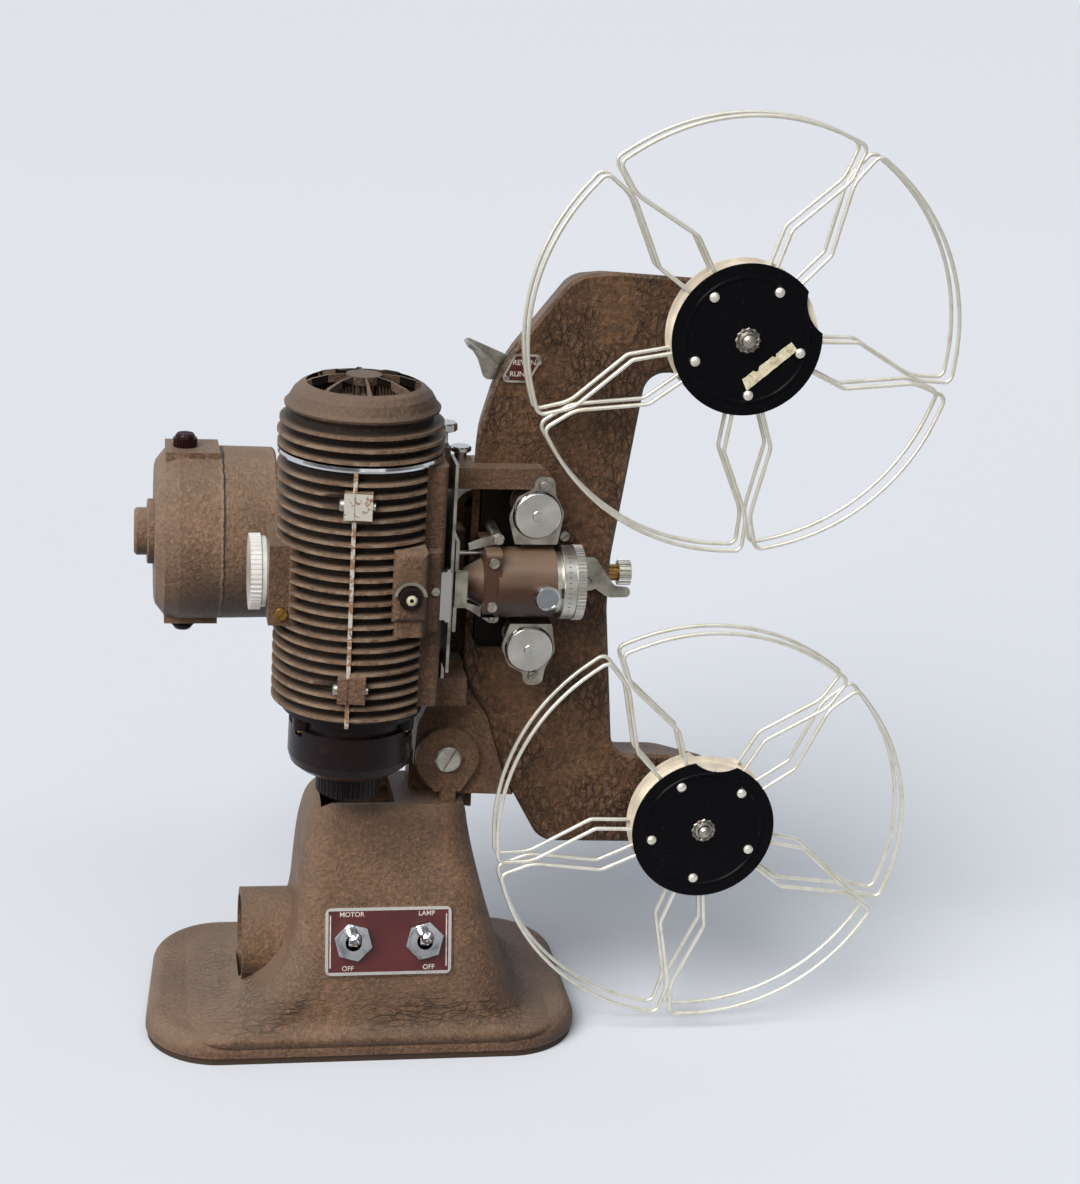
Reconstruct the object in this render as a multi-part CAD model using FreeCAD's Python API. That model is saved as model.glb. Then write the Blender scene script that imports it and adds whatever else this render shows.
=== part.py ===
import FreeCAD, Part
import math
import os

# Movie projector, millimetres.  +X is the way the lens points, -Y is the reel side that faces
# the operator, +Z is up.  The origin is the centre of the underside of the base.
V = FreeCAD.Vector
X_AXIS = V(1, 0, 0)
Y_AXIS = V(0, 1, 0)
Z_AXIS = V(0, 0, 1)

# Where the film runs and where the light goes
film_y = -33.0            # middle of the film, the lens, the lamp and both reels
lens_z = 205.5            # height of the optical axis
lamp_x = -9.0             # axis of the lamp house
spindle_x = 142.3         # both reel spindles
upper_z = 309.2
lower_z = 97.0
sprocket_x = 62.4         # both sprockets
upper_sprocket_z = 235.3
lower_sprocket_z = 178.3

# Clearances
running_gap = 0.06        # radial gap of a shaft that turns in its hole
drill_gap = 0.03          # radial gap of a fixed screw in its hole
part_gap = 0.3            # between neighbours that move past each other

# Base
board_thickness = 3.2
base_left = -93.0
base_right = 94.0
base_front = -56.0
base_back = 58.0
base_back_left = -84.0    # the left side of the foot tapers towards the back
foot_corner = 31.0
foot_height = 12.0
foot_edge = 6.5           # rounding of the upper edge of the foot
casting_wall = 3.5
column_top = 105.0
pivot_x = 33.2
pivot_z = 124.8
pivot_bore = 4.0

# Head castings
spine_front = -21.0
spine_back = 3.0
spine_wall = 3.5
spine_edge = 1.3          # bevel round the front of the spine
arm_reach = 19.5          # how far the arms go on past the spindles
spine_draft = 4.0         # how far the spine draws in towards its back
cover_thickness = 1.5
bracket_back = -10.0

# Lamp house
fin_radius = 32.8
root_radius = 28.6
shell_bore = 26.0
fin_pitch = 4.84
fin_thickness = 1.9
lowest_fin_z = 157.8
fin_count = 22
shell_bottom = 154.8
trim_ring_z = 261.0
seam_turn = 9.0           # the seam sits this many degrees left of the front

# Motor and the shaft it drives
motor_y = 30.5
motor_z = 206.0
motor_radius = 36.4
motor_right = -38.0
motor_seam = -60.5
motor_left = -88.0
shaft_radius = 3.0
cam_shaft_y = -4.0
cam_shaft_z = 200.2
cam_shaft_radius = 2.5
gear_module = 1.0
cam_gear_teeth = 24
main_gear_teeth = 46
sprocket_gear_radius = 14.25
worm_radius = 5.6

# Reels
reel_radius = 89.0
wire_radius = 0.85
hub_radius = 30.8
drum_radius = 27.5
near_flange_y = -38.2
far_flange_y = -28.3
petal_count = 5
spindle_radius = 4.0

# Shutter and gate planes
shutter_x = 25.0
shutter_thickness = 0.8
shutter_radius = 31.3
claw_x = 26.1
claw_thickness = 0.8
gate_x = 27.2
gate_thickness = 1.2


def place(x, y, z):
    return V(x, y, z)


def rod(radius, length, base, axis):
    return Part.makeCylinder(radius, length, base, axis)


def tube(outer, inner, length, base, axis):
    return rod(outer, length, base, axis).cut(rod(inner, length, base, axis))


def block(x0, x1, y0, y1, z0, z1):
    return Part.makeBox(x1 - x0, y1 - y0, z1 - z0, V(x0, y0, z0))


def join(shapes):
    whole = shapes[0].multiFuse(shapes[1:]) if len(shapes) > 1 else shapes[0]
    return whole.removeSplitter()


def remove(shape, cutters):
    return shape.cut(cutters[0].multiFuse(cutters[1:]) if len(cutters) > 1 else cutters[0])


def rounded_wire(corners, to_space):
    """Closed wire through corners (u, v, radius), with an arc at each corner that has a radius."""
    count = len(corners)
    stops = []
    for index, (u, v, radius) in enumerate(corners):
        here = V(u, v, 0)
        before = V(*corners[index - 1][:2], 0) - here
        after = V(*corners[(index + 1) % count][:2], 0) - here
        before.normalize()
        after.normalize()
        if radius <= 0:
            stops.append((here, here, here))
            continue
        half = before.getAngle(after) / 2
        reach = radius / math.tan(half)
        middle = before + after
        middle.normalize()
        centre = here + middle * (radius / math.sin(half))
        stops.append((here + before * reach, centre - middle * radius, here + after * reach))
    edges = []
    for index, (start, peak, end) in enumerate(stops):
        if (end - start).Length > 1e-6:
            edges.append(Part.Arc(to_space(start), to_space(peak), to_space(end)).toShape())
        following = stops[(index + 1) % count][0]
        if (following - end).Length > 1e-6:
            edges.append(Part.makeLine(to_space(end), to_space(following)))
    return Part.Wire(edges)


def front_plate(corners, y0, y1):
    """Plate cut to an outline in the X-Z plane, from y0 back to y1."""
    wire = rounded_wire(corners, lambda p: V(p.x, y0, p.y))
    return Part.Face(wire).extrude(V(0, y1 - y0, 0))


def floor_plate(corners, z0, z1):
    """Plate cut to an outline in the X-Y plane, from z0 up to z1."""
    wire = rounded_wire(corners, lambda p: V(p.x, p.y, z0))
    return Part.Face(wire).extrude(V(0, 0, z1 - z0))


def turned(profile, base, axis):
    """Solid of revolution; the profile is (radius, distance along the axis), closed for us."""
    across = V(0, 0, 1) if abs(axis.z) < 0.5 else V(1, 0, 0)
    points = [base + across * radius + axis * along for radius, along in profile]
    points.append(points[0])
    return Part.Face(Part.makePolygon(points)).revolve(base, axis, 360)


def toothed(outer, inner, count, length, base, axis, root_share=0.4, tip_share=0.15):
    """Gear or knurled disc with straight-sided teeth; the shares are half widths of a tooth in pitches."""
    across = V(0, 0, 1) if abs(axis.z) < 0.5 else V(1, 0, 0)
    other = axis.cross(across)
    step = 2 * math.pi / count
    points = []
    for index in range(count):
        middle = index * step
        for angle, radius in ((-root_share, inner), (-tip_share, outer), (tip_share, outer),
                              (root_share, inner)):
            turn = middle + angle * step
            points.append(base + across * (radius * math.cos(turn)) + other * (radius * math.sin(turn)))
    points.append(points[0])
    return Part.Face(Part.makePolygon(points)).extrude(axis * length)


def slotted_head(radius, height, base, axis, slot_width, turn_degrees):
    """Cheese screw head standing on base, with a screwdriver slot in its top."""
    head = turned([(0, 0), (radius, 0), (radius, height * 0.7), (radius * 0.86, height),
                   (0, height)], base, axis)
    slot = Part.makeBox(radius * 3, slot_width, height * 0.5, V(-radius * 1.5, -slot_width / 2, 0))
    slot.rotate(V(0, 0, 0), Z_AXIS, turn_degrees)
    slot.Placement = FreeCAD.Placement(base + axis * (height * 0.55),
                                       FreeCAD.Rotation(Z_AXIS, axis)).multiply(slot.Placement)
    return head.cut(slot)


def hexagon(across_flats, length, base, axis, turn_degrees=0.0):
    radius = across_flats / math.sqrt(3)
    across = V(0, 0, 1) if abs(axis.z) < 0.5 else V(1, 0, 0)
    other = axis.cross(across)
    points = []
    for index in range(6):
        turn = math.radians(60 * index + turn_degrees)
        points.append(base + across * (radius * math.cos(turn)) + other * (radius * math.sin(turn)))
    points.append(points[0])
    return Part.Face(Part.makePolygon(points)).extrude(axis * length)


def save(name, shape):
    if not shape.isValid():
        shape.fix(1e-4, 1e-4, 1e-4)
    shape.exportStep("parts/" + name + ".step")


# Base

def foot_corners(inset):
    radius = foot_corner - inset
    front = base_front + inset
    back = base_back - inset
    right = base_right - inset
    return [(base_left + inset, front, radius), (right, front, radius), (right, back, radius),
            (base_back_left + inset, back, radius)]


# Each station of the column: height, left, right, front, back and how far the corners round.
# The lowest one lies inside the foot, where the front runs on into the rounded edge.
column_stations = [
    (7.0, -82.0, 88.0, -55.8, 52.0, 28.0),
    (16.0, -58.0, 71.0, -53.4, 38.0, 20.0),
    (23.0, -46.5, 65.0, -51.8, 32.0, 17.0),
    (35.0, -35.5, 60.0, -49.4, 26.0, 14.0),
    (49.0, -29.5, 55.6, -45.6, 22.0, 13.0),
    (64.0, -27.8, 51.0, -41.4, 19.0, 12.0),
    (80.0, -27.0, 46.6, -36.8, 16.0, 12.0),
    (95.0, -25.0, 43.4, -32.6, 13.0, 12.0),
    (101.5, -22.6, 42.2, -30.2, 11.6, 11.5),
    (column_top, -18.5, 40.0, -27.0, 9.0, 10.0),
]


def column_body(inset, lift):
    wires = []
    for height, left, right, front, back, corner in column_stations:
        sides = (left + inset, right - inset)
        round_off = corner - inset * 0.5
        outline = [(sides[0], front + inset, round_off), (sides[1], front + inset, round_off),
                   (sides[1], back - inset, round_off), (sides[0], back - inset, round_off)]
        level = height + lift
        wires.append(rounded_wire(outline, lambda p, level=level: V(p.x, p.y, level)))
    return Part.makeLoft(wires, True, False)


hood_radius = 21.0
hood_y = -2.0
hood_z = 33.0
hood_left = -50.0
front_slope = 0.29        # the front of the column leans back this much for each millimetre of height
plate_mid = V(9.1, -45.9, 51.2)


def nameplate_place():
    """Placement whose local z points out of the sloping front face."""
    tilt = math.degrees(math.atan(front_slope))
    return FreeCAD.Placement(plate_mid, FreeCAD.Rotation(X_AXIS, 90 - tilt))


def on_plate(shape):
    shape.Placement = nameplate_place().multiply(shape.Placement)
    return shape


switch_offset = 15.0
name_width = 53.0
name_height = 28.4
ear_back = 2.0
tab_width = 6.2
tab_top = 111.0
tab_front = -25.5


def base_casting():
    foot = floor_plate(foot_corners(0), board_thickness, foot_height)
    top_edges = [edge for edge in foot.Edges if edge.BoundBox.ZMin > foot_height - 0.01]
    foot = foot.makeFillet(foot_edge, top_edges)
    hood = rod(hood_radius, -hood_left - 20, place(hood_left, hood_y, hood_z), X_AXIS)
    seat = on_plate(Part.makeBox(name_width + 2, name_height + 2, 12,
                                 V(-name_width / 2 - 1, -name_height / 2 - 1, -12.6)))
    ear = front_plate([(pivot_x - 14, 100, 0), (pivot_x + 13.5, 96, 0), (pivot_x + 13.5, pivot_z + 13.4, 13),
                       (pivot_x - 14, pivot_z + 13.4, 13)], bracket_back + part_gap, ear_back)
    tab = block(pivot_x - tab_width / 2 + 1, pivot_x + tab_width / 2 + 1, tab_front,
                spine_front - part_gap, 98, tab_top)
    solid = join([foot, column_body(0, 0), hood, seat, ear, tab])
    hollow = floor_plate(foot_corners(casting_wall), 0, foot_height - casting_wall)
    core = column_body(casting_wall, -casting_wall - 2.5)
    bore = rod(hood_radius - 3, 36, place(hood_left - 1, hood_y, hood_z), X_AXIS)
    socket_well = block(-19, 12, -25, 6, 95, 120)
    cuts = [hollow, core, bore, socket_well,
            rod(pivot_bore + drill_gap, 40, place(pivot_x, -30, pivot_z), Y_AXIS)]
    for side in (-1, 1):
        cuts.append(on_plate(rod(6.0 + drill_gap, 30, V(side * switch_offset, 0, -20), Z_AXIS)))
    return remove(solid, cuts)


def base_board():
    """Fibre board that closes the underside and stands on the table."""
    board = floor_plate(foot_corners(0.8), 0, board_thickness)
    vents = [block(9 * index - 24.5, 9 * index - 20.5, -18, 18, -1,
                   board_thickness + 1) for index in range(6)]
    return remove(board, vents)


def nameplate():
    plate = Part.makeBox(name_width, name_height, 1.2, V(-name_width / 2, -name_height / 2, -0.6))
    corners = [edge for edge in plate.Edges if abs(edge.BoundBox.ZLength - 1.2) < 1e-6]
    plate = plate.makeFillet(2.5, corners)
    field = Part.makeBox(name_width - 2.6, name_height - 2.6, 1,
                         V(1.3 - name_width / 2, 1.3 - name_height / 2, 0.3))
    holes = [field]
    for side in (-1, 1):
        holes.append(rod(6.0 + drill_gap, 4, V(side * switch_offset, 0, -2), Z_AXIS))
    return on_plate(remove(plate, holes))


def switch_nuts():
    pieces = []
    for side in (-1, 1):
        base = V(side * switch_offset, 0, 0.3)
        nut = hexagon(14.2, 2.6, base, Z_AXIS, 15 * side)
        collar = rod(6.4, 1.0, base + V(0, 0, 2.6), Z_AXIS)
        pieces.append(join([nut, collar]).cut(rod(6.0, 6, base - V(0, 0, 1), Z_AXIS)))
    return on_plate(Part.makeCompound(pieces))


def switch_body(side):
    centre = side * switch_offset
    bush = tube(6.0, 3.4, 11.0, V(centre, 0, -6.9), Z_AXIS)
    case = Part.makeBox(18, 24, 16, V(centre - 9, -12, -22.9))
    well = rod(5.2, 15.0, V(centre, 0, -21.9), Z_AXIS)
    return on_plate(join([bush, case]).cut(well))


def switch_lever(side, angle):
    """Bat lever with its pivot barrel, leaning by angle degrees towards the legend."""
    profile = [(0, -5.5), (1.6, -5.5), (1.5, 2.2), (1.6, 5.0), (2.6, 10.0), (2.7, 11.6), (2.0, 13.2),
               (0, 13.8)]
    lever = join([turned(profile, V(0, 0, 0), Z_AXIS), rod(2.4, 3.8, V(-1.9, 0, 0), X_AXIS)])
    lever.rotate(V(0, 0, 0), X_AXIS, angle)
    lever.translate(V(side * switch_offset, 0, 1.0))
    return on_plate(lever)


inlet_face = hood_left + 11.0


def power_inlet():
    """Round insert at the bottom of the hood, with a raised middle round the two pins."""
    body = turned([(0, inlet_face - 2.0), (8.5, inlet_face - 2.0), (8.5, inlet_face),
                   (hood_radius - 3 - drill_gap, inlet_face), (hood_radius - 3 - drill_gap,
                                                               inlet_face + 12), (0, inlet_face + 12)],
                  place(0, hood_y, hood_z), X_AXIS)
    return remove(body, [rod(2.4, 40, place(inlet_face - 5, hood_y + side * 4.5, hood_z),
                             X_AXIS) for side in (-1, 1)])


def inlet_pins():
    return Part.makeCompound([rod(2.4, 24, place(inlet_face - 9.0, hood_y + side * 4.5, hood_z), X_AXIS)
                              for side in (-1, 1)])


disc_radius = 13.3
disc_thickness = 3.5


def pivot_disc():
    front = spine_front - part_gap - disc_thickness
    disc = rod(disc_radius, disc_thickness, place(pivot_x, front, pivot_z), Y_AXIS)
    foot = front_plate([(pivot_x - 12.6, pivot_z - 4, 0), (pivot_x + 12.6, pivot_z - 4, 0),
                        (pivot_x + 6.5, pivot_z - 15.2, 0), (pivot_x - 5.0, pivot_z - 15.2, 0)],
                       front, spine_front - part_gap)
    notch = block(pivot_x - tab_width / 2 + 1 - 0.05, pivot_x + tab_width / 2 + 1 + 0.05, -40, 0, 90,
                  tab_top + 0.05)
    return remove(join([disc, foot]), [notch, rod(pivot_bore + drill_gap, 20,
                                                  place(pivot_x, -40, pivot_z), Y_AXIS)])


def pivot_bolt():
    """Slotted bolt that the head tilts on, with its nut behind the ear."""
    front = spine_front - part_gap - disc_thickness
    head = slotted_head(5.7, 3.0, place(pivot_x, front, pivot_z), V(0, -1, 0), 1.6, 62)
    shank = rod(pivot_bore, ear_back - front + 9, place(pivot_x, front, pivot_z), Y_AXIS)
    nut = hexagon(13.0, 6.5, place(pivot_x, ear_back, pivot_z), Y_AXIS)
    return join([head, shank, nut])


# Head castings

def spine_corners(inset):
    """The C-shaped outline of the spine, moved inwards by inset."""
    end = spindle_x + arm_reach
    lines = [(38.6, 166.0, 0), (38.6, 262.0, 40), (46.2, 291.2, 60), (75.0, 329.6, 16),
             (90.0, 331.2, 20), (end, upper_z + 18.6, 18), (end, upper_z - 18.9, 18),
             (107.0, 290.6, 9), (97.6, 212.0, 60), (97.6, 190.0, 60), (104.4, 123.8, 9.5),
             (128.0, 123.6, 30), (end, lower_z + 17.5, 17), (end, lower_z - 19.0, 18),
             (118.0, 83.0, 40), (75.5, 84.2, 12), (63.2, 106.0, 0), (58.2, 116.2, 0), (50.0, 142.0, 0),
             (42.2, 153.2, 0)]
    return offset_corners(lines, inset)


def offset_corners(corners, inset):
    """Moves each side of an outline inwards; the outline runs clockwise."""
    count = len(corners)
    moved = []
    for index, (u, v, radius) in enumerate(corners):
        here = V(u, v, 0)
        before = here - V(*corners[index - 1][:2], 0)
        after = V(*corners[(index + 1) % count][:2], 0) - here
        before.normalize()
        after.normalize()
        bisector = V(before.y, -before.x, 0) + V(after.y, -after.x, 0)
        spot = here + bisector * (inset * 2 / bisector.dot(bisector))
        bulges = before.cross(after).z < 0
        bend = radius - inset if bulges else radius + inset
        moved.append((spot.x, spot.y, max(bend, 0.5) if radius else 0.0))
    return moved


trough_radius = 15.7      # hollow in the front of the spine that the lens lies in
trough_end = 84.0
pocket_corners = [(36.0, 188.0, 0), (36.0, 241.0, 0), (60.5, 241.0, 3), (60.5, 172.0, 3), (44.0, 172.0, 3)]


def drafted(sections):
    """Solid through the spine outline at several depths, each (inset, y)."""
    wires = [rounded_wire(spine_corners(inset), lambda p, y=y: V(p.x, y, p.y)) for inset, y in sections]
    return Part.makeLoft(wires, True, True)


def spine_casting():
    body = drafted([(spine_edge, spine_front), (0, spine_front + spine_edge), (spine_draft, spine_back)])
    cavity = drafted([(spine_wall, spine_front + spine_wall), (spine_wall + spine_draft, spine_back + 0.5)])
    posts = []
    for x, z in ((spindle_x, upper_z), (spindle_x, lower_z)):
        posts.append(rod(8.0, 22.0, place(x, spine_front, z), Y_AXIS))
    for z in (upper_sprocket_z, lower_sprocket_z):
        posts.append(rod(7.0, 5.0, place(sprocket_x, spine_front - 1.5, z), Y_AXIS))
    for x, z in ((79.5, 271.2), (78.3, 122.8)):
        posts.append(rod(5.4, 5.0, place(x, spine_front - 0.5, z), Y_AXIS))
        posts.append(rod(4.0, 18.0, place(x, spine_front + 2, z), Y_AXIS))
    posts.append(rod(3.2, 5.0, place(110.2, spine_front - 1.2, 102.6), Y_AXIS))
    posts.append(rod(4.1, 4.0, place(boss_x, spine_front - 3.0, boss_z), Y_AXIS))
    pocket = front_plate(pocket_corners, spine_front - 1, spine_front + spine_wall + 0.5)
    trough = rod(trough_radius + 1.7, trough_end - 60.5, place(60.5, film_y, lens_z), X_AXIS)
    posts.append(trough.common(block(50, 100, spine_front + 1, 0, 180, 230)))
    solid = join([body.cut(cavity).cut(pocket)] + posts)
    cuts = [rod(trough_radius, trough_end - 55, place(55, film_y, lens_z), X_AXIS)]
    for x, z in ((spindle_x, upper_z), (spindle_x, lower_z)):
        cuts.append(rod(spindle_radius + running_gap, 60, place(x, -50, z), Y_AXIS))
    for z in (upper_sprocket_z, lower_sprocket_z):
        cuts.append(rod(shaft_radius + running_gap, 30, place(sprocket_x, -40, z), Y_AXIS))
    cuts.append(rod(cam_shaft_radius + running_gap, 90, place(30, cam_shaft_y, cam_shaft_z), X_AXIS))
    cuts.append(front_plate([(36, 281, 0), (36, 308, 0), (56, 300, 0), (56, 281, 0)],
                            spine_front + spine_wall, -12.2))
    return remove(solid, cuts)


def mechanism_plate():
    """Black plate behind the pocket, seen between the film guides."""
    corners = [(42.8, 169.5, 0), (42.8, 244.0, 0), (63.0, 244.0, 2), (63.0, 169.5, 2)]
    plate = front_plate(corners, spine_front + spine_wall, spine_front + spine_wall + 1.5)
    holes = [rod(8.0, 10, place(sprocket_x, -20, z), Y_AXIS) for z in (upper_sprocket_z, lower_sprocket_z)]
    holes.append(rod(5.0, 10, place(sprocket_x, -20, idler_z), Y_AXIS))
    holes.append(rod(trough_radius + 1.8, 60, place(50, film_y, lens_z), X_AXIS))
    return remove(plate, holes)


def spine_cover():
    """Sheet covers on the back of both arms; the gear case closes the middle."""
    cover = front_plate(spine_corners(spine_draft + 0.4), spine_back, spine_back + cover_thickness)
    opening = block(30, 110, 0, 10, case_bottom - 0.05, case_top + 0.05)
    holes = [rod(9.0, 10, place(spindle_x, 0, z), Y_AXIS) for z in (upper_z, lower_z)]
    return remove(cover, [opening] + holes)


case_left = 35.6
case_right = 93.4
case_bottom = 148.0
case_top = 234.0
case_back = 58.5
case_wall = 3.5
boss_x = 76.8
boss_z = 222.4
wall_left = 15.5
wall_right = 24.2
wall_front = -50.0
bar_top = 252.0
knob_seat_z = 258.0
bar_bottom = 243.4
bar_front = -29.0


def lamp_bracket():
    """Light brown casting: pivot plate, the wall beside the fins and the bar over the gate."""
    plate = front_plate([(19.6, pivot_z, 0), (20.4, 138.0, 6), (26.0, 152.0, 8), (24.0, 170.0, 0),
                         (38.2, 166.0, 0), (38.2, 162.2, 0), (41.9, 153.2, 0), (49.6, 142.0, 0),
                         (57.8, 116.0, 0), (62.6, 106.2, 0), (44.0, 107.0, 6), (33.2, 107.6, 16.9),
                         (19.0, 108.0, 15.5)], spine_front, bracket_back)
    wall = block(wall_left, wall_right, wall_front, bracket_back, 158.0, knob_seat_z)
    wall = wall.makeFillet(2.5, [edge for edge in wall.Edges
                                 if edge.BoundBox.ZLength > 50 and edge.BoundBox.YMax < wall_front + 0.1
                                 and edge.BoundBox.XMin > wall_right - 0.1])
    wall = wall.cut(rod(root_radius + part_gap, 140, place(lamp_x, film_y, 140), Z_AXIS))
    foot = block(wall_left, 38.2, -34.0, bracket_back, 152.0, 164.0)
    bar = front_plate([(wall_left, bar_bottom, 0), (wall_left, bar_top, 0), (69.0, bar_top, 4.2),
                       (69.0, bar_bottom, 4.2)], bar_front, spine_front)
    head_bar = block(wall_left, 38.2, spine_front, bracket_back, bar_bottom, bar_top)
    step = block(wall_left, lamp_clamp_x + 2.0, spine_front, bracket_back, bar_bottom, knob_seat_z)
    lamp_room = rod(fin_radius + part_gap, 140, place(lamp_x, film_y, 140), Z_AXIS)
    solid = join([join([plate, foot, bar, head_bar, step]).cut(lamp_room), wall])
    light_hole = rod(9.0, 60, place(0, film_y, lens_z), X_AXIS)
    cam_hole = rod(cam_shaft_radius + running_gap, 60, place(10, cam_shaft_y, cam_shaft_z), X_AXIS)
    pivot_hole = rod(pivot_bore + running_gap, 60, place(pivot_x, -40, pivot_z), Y_AXIS)
    stud = rod(1.5 + drill_gap, 8, place(guard_pin_x, bar_front - 1, guard_pin_z), Y_AXIS)
    pins = [rod(1.0 + running_gap, 5, place(x, y, z - 4.2), Z_AXIS) for x, y, z in top_knobs]
    return remove(solid, [light_hole, cam_hole, pivot_hole, stud, shutter_room()] + pins)


def shutter_room():
    """Clearance for the turning shutter and the claw beside it."""
    return rod(shutter_radius + 0.6, gate_x - wall_right, place(wall_right, cam_shaft_y, cam_shaft_z), X_AXIS)


def drive_housing():
    """Rear casting: flange for the motor, the beam behind the lamp house and the gear case."""
    flange = rod(30.0, 4.0, place(motor_right, motor_y, motor_z), X_AXIS)
    beam = block(motor_right + 2, 40.0, motor_y - 16, motor_y + 16, motor_z - 16, motor_z + 16)
    beam = beam.makeFillet(5.0, [edge for edge in beam.Edges if edge.BoundBox.XLength > 50])
    case_corners = [(case_left, case_bottom, 12), (case_left, case_top, 8), (case_right, case_top, 8),
                    (case_right, case_bottom, 12)]
    case = front_plate(case_corners, spine_back, case_back)
    case = case.makeFillet(3.0, [edge for edge in case.Edges if edge.BoundBox.YMin > case_back - 0.01])
    web = block(wall_left, 38.0, bracket_back, motor_y - 11, motor_z - 14, motor_z + 14)
    inset = case_wall
    room = [(case_left + inset, case_bottom + inset, 8), (case_left + inset, case_top - inset, 4),
            (case_right - inset, case_top - inset, 2), (case_right - inset, case_bottom + inset, 8)]
    inside = front_plate(room, spine_back - 1, case_back - inset)
    lip = block(case_left, 44.0, spine_back, spine_back + 2.5, case_bottom + 12, case_top - 8)
    solid = join([flange, beam, case, web])
    tunnel = rod(12.0, 85, place(motor_right - 1, motor_y, motor_z), X_AXIS)
    cam_hole = rod(cam_shaft_radius + 2.0, 60, place(10, cam_shaft_y, cam_shaft_z), X_AXIS)
    right_bore = rod(shaft_radius + running_gap, 20, place(case_right - 6, motor_y, motor_z), X_AXIS)
    back_bore = rod(shaft_radius + running_gap, 3.3, place(sprocket_x, case_back - case_wall - 0.5,
                                                           lower_sprocket_z), Y_AXIS)
    return join([remove(solid, [inside, tunnel, cam_hole, shutter_room(), right_bore, back_bore]),
                 lip.cut(cam_hole)])


# Lamp house

def finned_tube(bottom, top, levels, outer, root, bore):
    body = tube(root, bore, top - bottom, place(lamp_x, film_y, bottom), Z_AXIS)
    fins = []
    for level in levels:
        half = fin_thickness / 2
        fin = turned([(bore + 1, level - half), (root, level - half - 0.3), (outer, level - half * 0.6),
                      (outer, level + half * 0.6), (root, level + half + 0.3), (bore + 1, level + half)],
                     place(lamp_x, film_y, 0), Z_AXIS)
        fins.append(fin)
    return join([body] + fins)


shell_top = 259.6
lug_levels = (246.9, 171.4)
fin_end = 15.2            # the fins of the right half stop here, beside the wall of the bracket
boss_front = -64.0        # raised boss that carries the pad of the condenser knob
boss_step = -56.5
seam_flange = 0.8
seam_reach = 33.3
pad_x = 8.2
pad_z = 213.7


def shell_half(side):
    """One finned half; side -1 is the left one with the reflector, +1 the one on the bracket."""
    levels = [lowest_fin_z + fin_pitch * index for index in range(fin_count)]
    levels = [level for level in levels if level < shell_top - 1]
    whole = finned_tube(shell_bottom, shell_top, levels, fin_radius, root_radius, shell_bore)
    shape = [whole]
    cuts = []
    mid = place(lamp_x, film_y, 0)
    for level in lug_levels:
        if side < 0:
            shape.append(block(lamp_x - 4.0, lamp_x, film_y - 36.0, film_y - 27.0, level - 5.3, level + 5.3))
        else:
            shape.append(block(lamp_x, lamp_x + 7.0, film_y - 35.5, film_y - 27.0, level - 5.3, level + 5.3))
    seam = sorted((lamp_x, lamp_x + side * seam_flange))
    shape.append(block(seam[0], seam[1], film_y - seam_reach, film_y - 27.0, shell_bottom, shell_top))
    for piece in shape[1:]:
        piece.rotate(mid, Z_AXIS, -seam_turn)
    scoops = []
    for level in lug_levels:
        scoop = rod(5.0, 22, place(lamp_x - 26.0, film_y - 34.5, level), X_AXIS)
        scoop.rotate(mid, Z_AXIS, -seam_turn)
        scoops.append(scoop)
    if side < 0:
        shape.append(block(lamp_x - 36.0, lamp_x - 24.0, film_y - 17, film_y + 12, lens_z - 13, lens_z + 20))
        whole = join(shape)
        cuts += scoops
        cuts.append(rod(ring_bore_radius, 30, place(lamp_x - 45, film_y, ring_z), X_AXIS))
    else:
        pad = block(pad_x - 6, pad_x + 7.5, film_y - 33.5, film_y - 20, pad_z - 14.5, pad_z + 14.5)
        pad = pad.makeFillet(3.0, [edge for edge in pad.Edges if edge.BoundBox.YMax < film_y - 33.4])
        shape.append(pad)
        boss = floor_plate([(3.0, boss_front, 3.0), (14.5, boss_front, 2.0), (17.5, boss_step, 0.5),
                            (22.2, boss_step, 2.0), (22.2, wall_front, 0), (fin_end, wall_front, 0),
                            (fin_end, wall_front + 5.0, 0), (3.0, wall_front + 5.0, 0)], 192.5, 225.0)
        beside_wall = block(fin_end, lamp_x + 40.0, film_y - 36.0, bracket_back + part_gap,
                            shell_bottom, shell_top)
        beside_wall = beside_wall.cut(rod(root_radius, 140, place(lamp_x, film_y, 140), Z_AXIS))
        whole = join([join(shape).cut(beside_wall), boss])
        cuts.append(rod(10.0, 40, place(lamp_x + 5, film_y, lens_z), X_AXIS))
        cuts.append(rod(3.0 + running_gap, 20, place(knob_x, film_y - 36, knob_z), Y_AXIS))
    cuts.append(rod(shell_bore, 200, place(lamp_x, film_y, 120), Z_AXIS))
    keep = Part.makeBox(60, 120, 140, V(lamp_x - 60 if side < 0 else lamp_x + 0.02, film_y - 60, 140))
    keep.rotate(mid, Z_AXIS, -seam_turn)
    for level in lug_levels:
        hole = rod(1.6 + drill_gap, 14, place(lamp_x - 5.0, film_y - 33.2, level), X_AXIS)
        hole.rotate(mid, Z_AXIS, -seam_turn)
        cuts.append(hole)
    return remove(whole, cuts).common(keep)


def lamphouse_screws():
    pieces = []
    mid = place(lamp_x, film_y, 0)
    for level in lug_levels:
        screw = join([slotted_head(2.6, 1.8, place(lamp_x - 4.0, film_y - 33.2, level), V(-1, 0, 0), 0.7, 30),
                      rod(1.6, 12.0, place(lamp_x - 4.0, film_y - 33.2, level), X_AXIS)])
        screw.rotate(mid, Z_AXIS, -seam_turn)
        pieces.append(screw)
    return Part.makeCompound(pieces)


def trim_ring():
    base = place(lamp_x, film_y, 0)
    return turned([(shell_bore + 0.5, shell_top), (32.9, shell_top), (33.1, shell_top + 0.8),
                   (32.9, shell_top + 2.0), (shell_bore + 0.5, shell_top + 2.0)], base, Z_AXIS)


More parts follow.
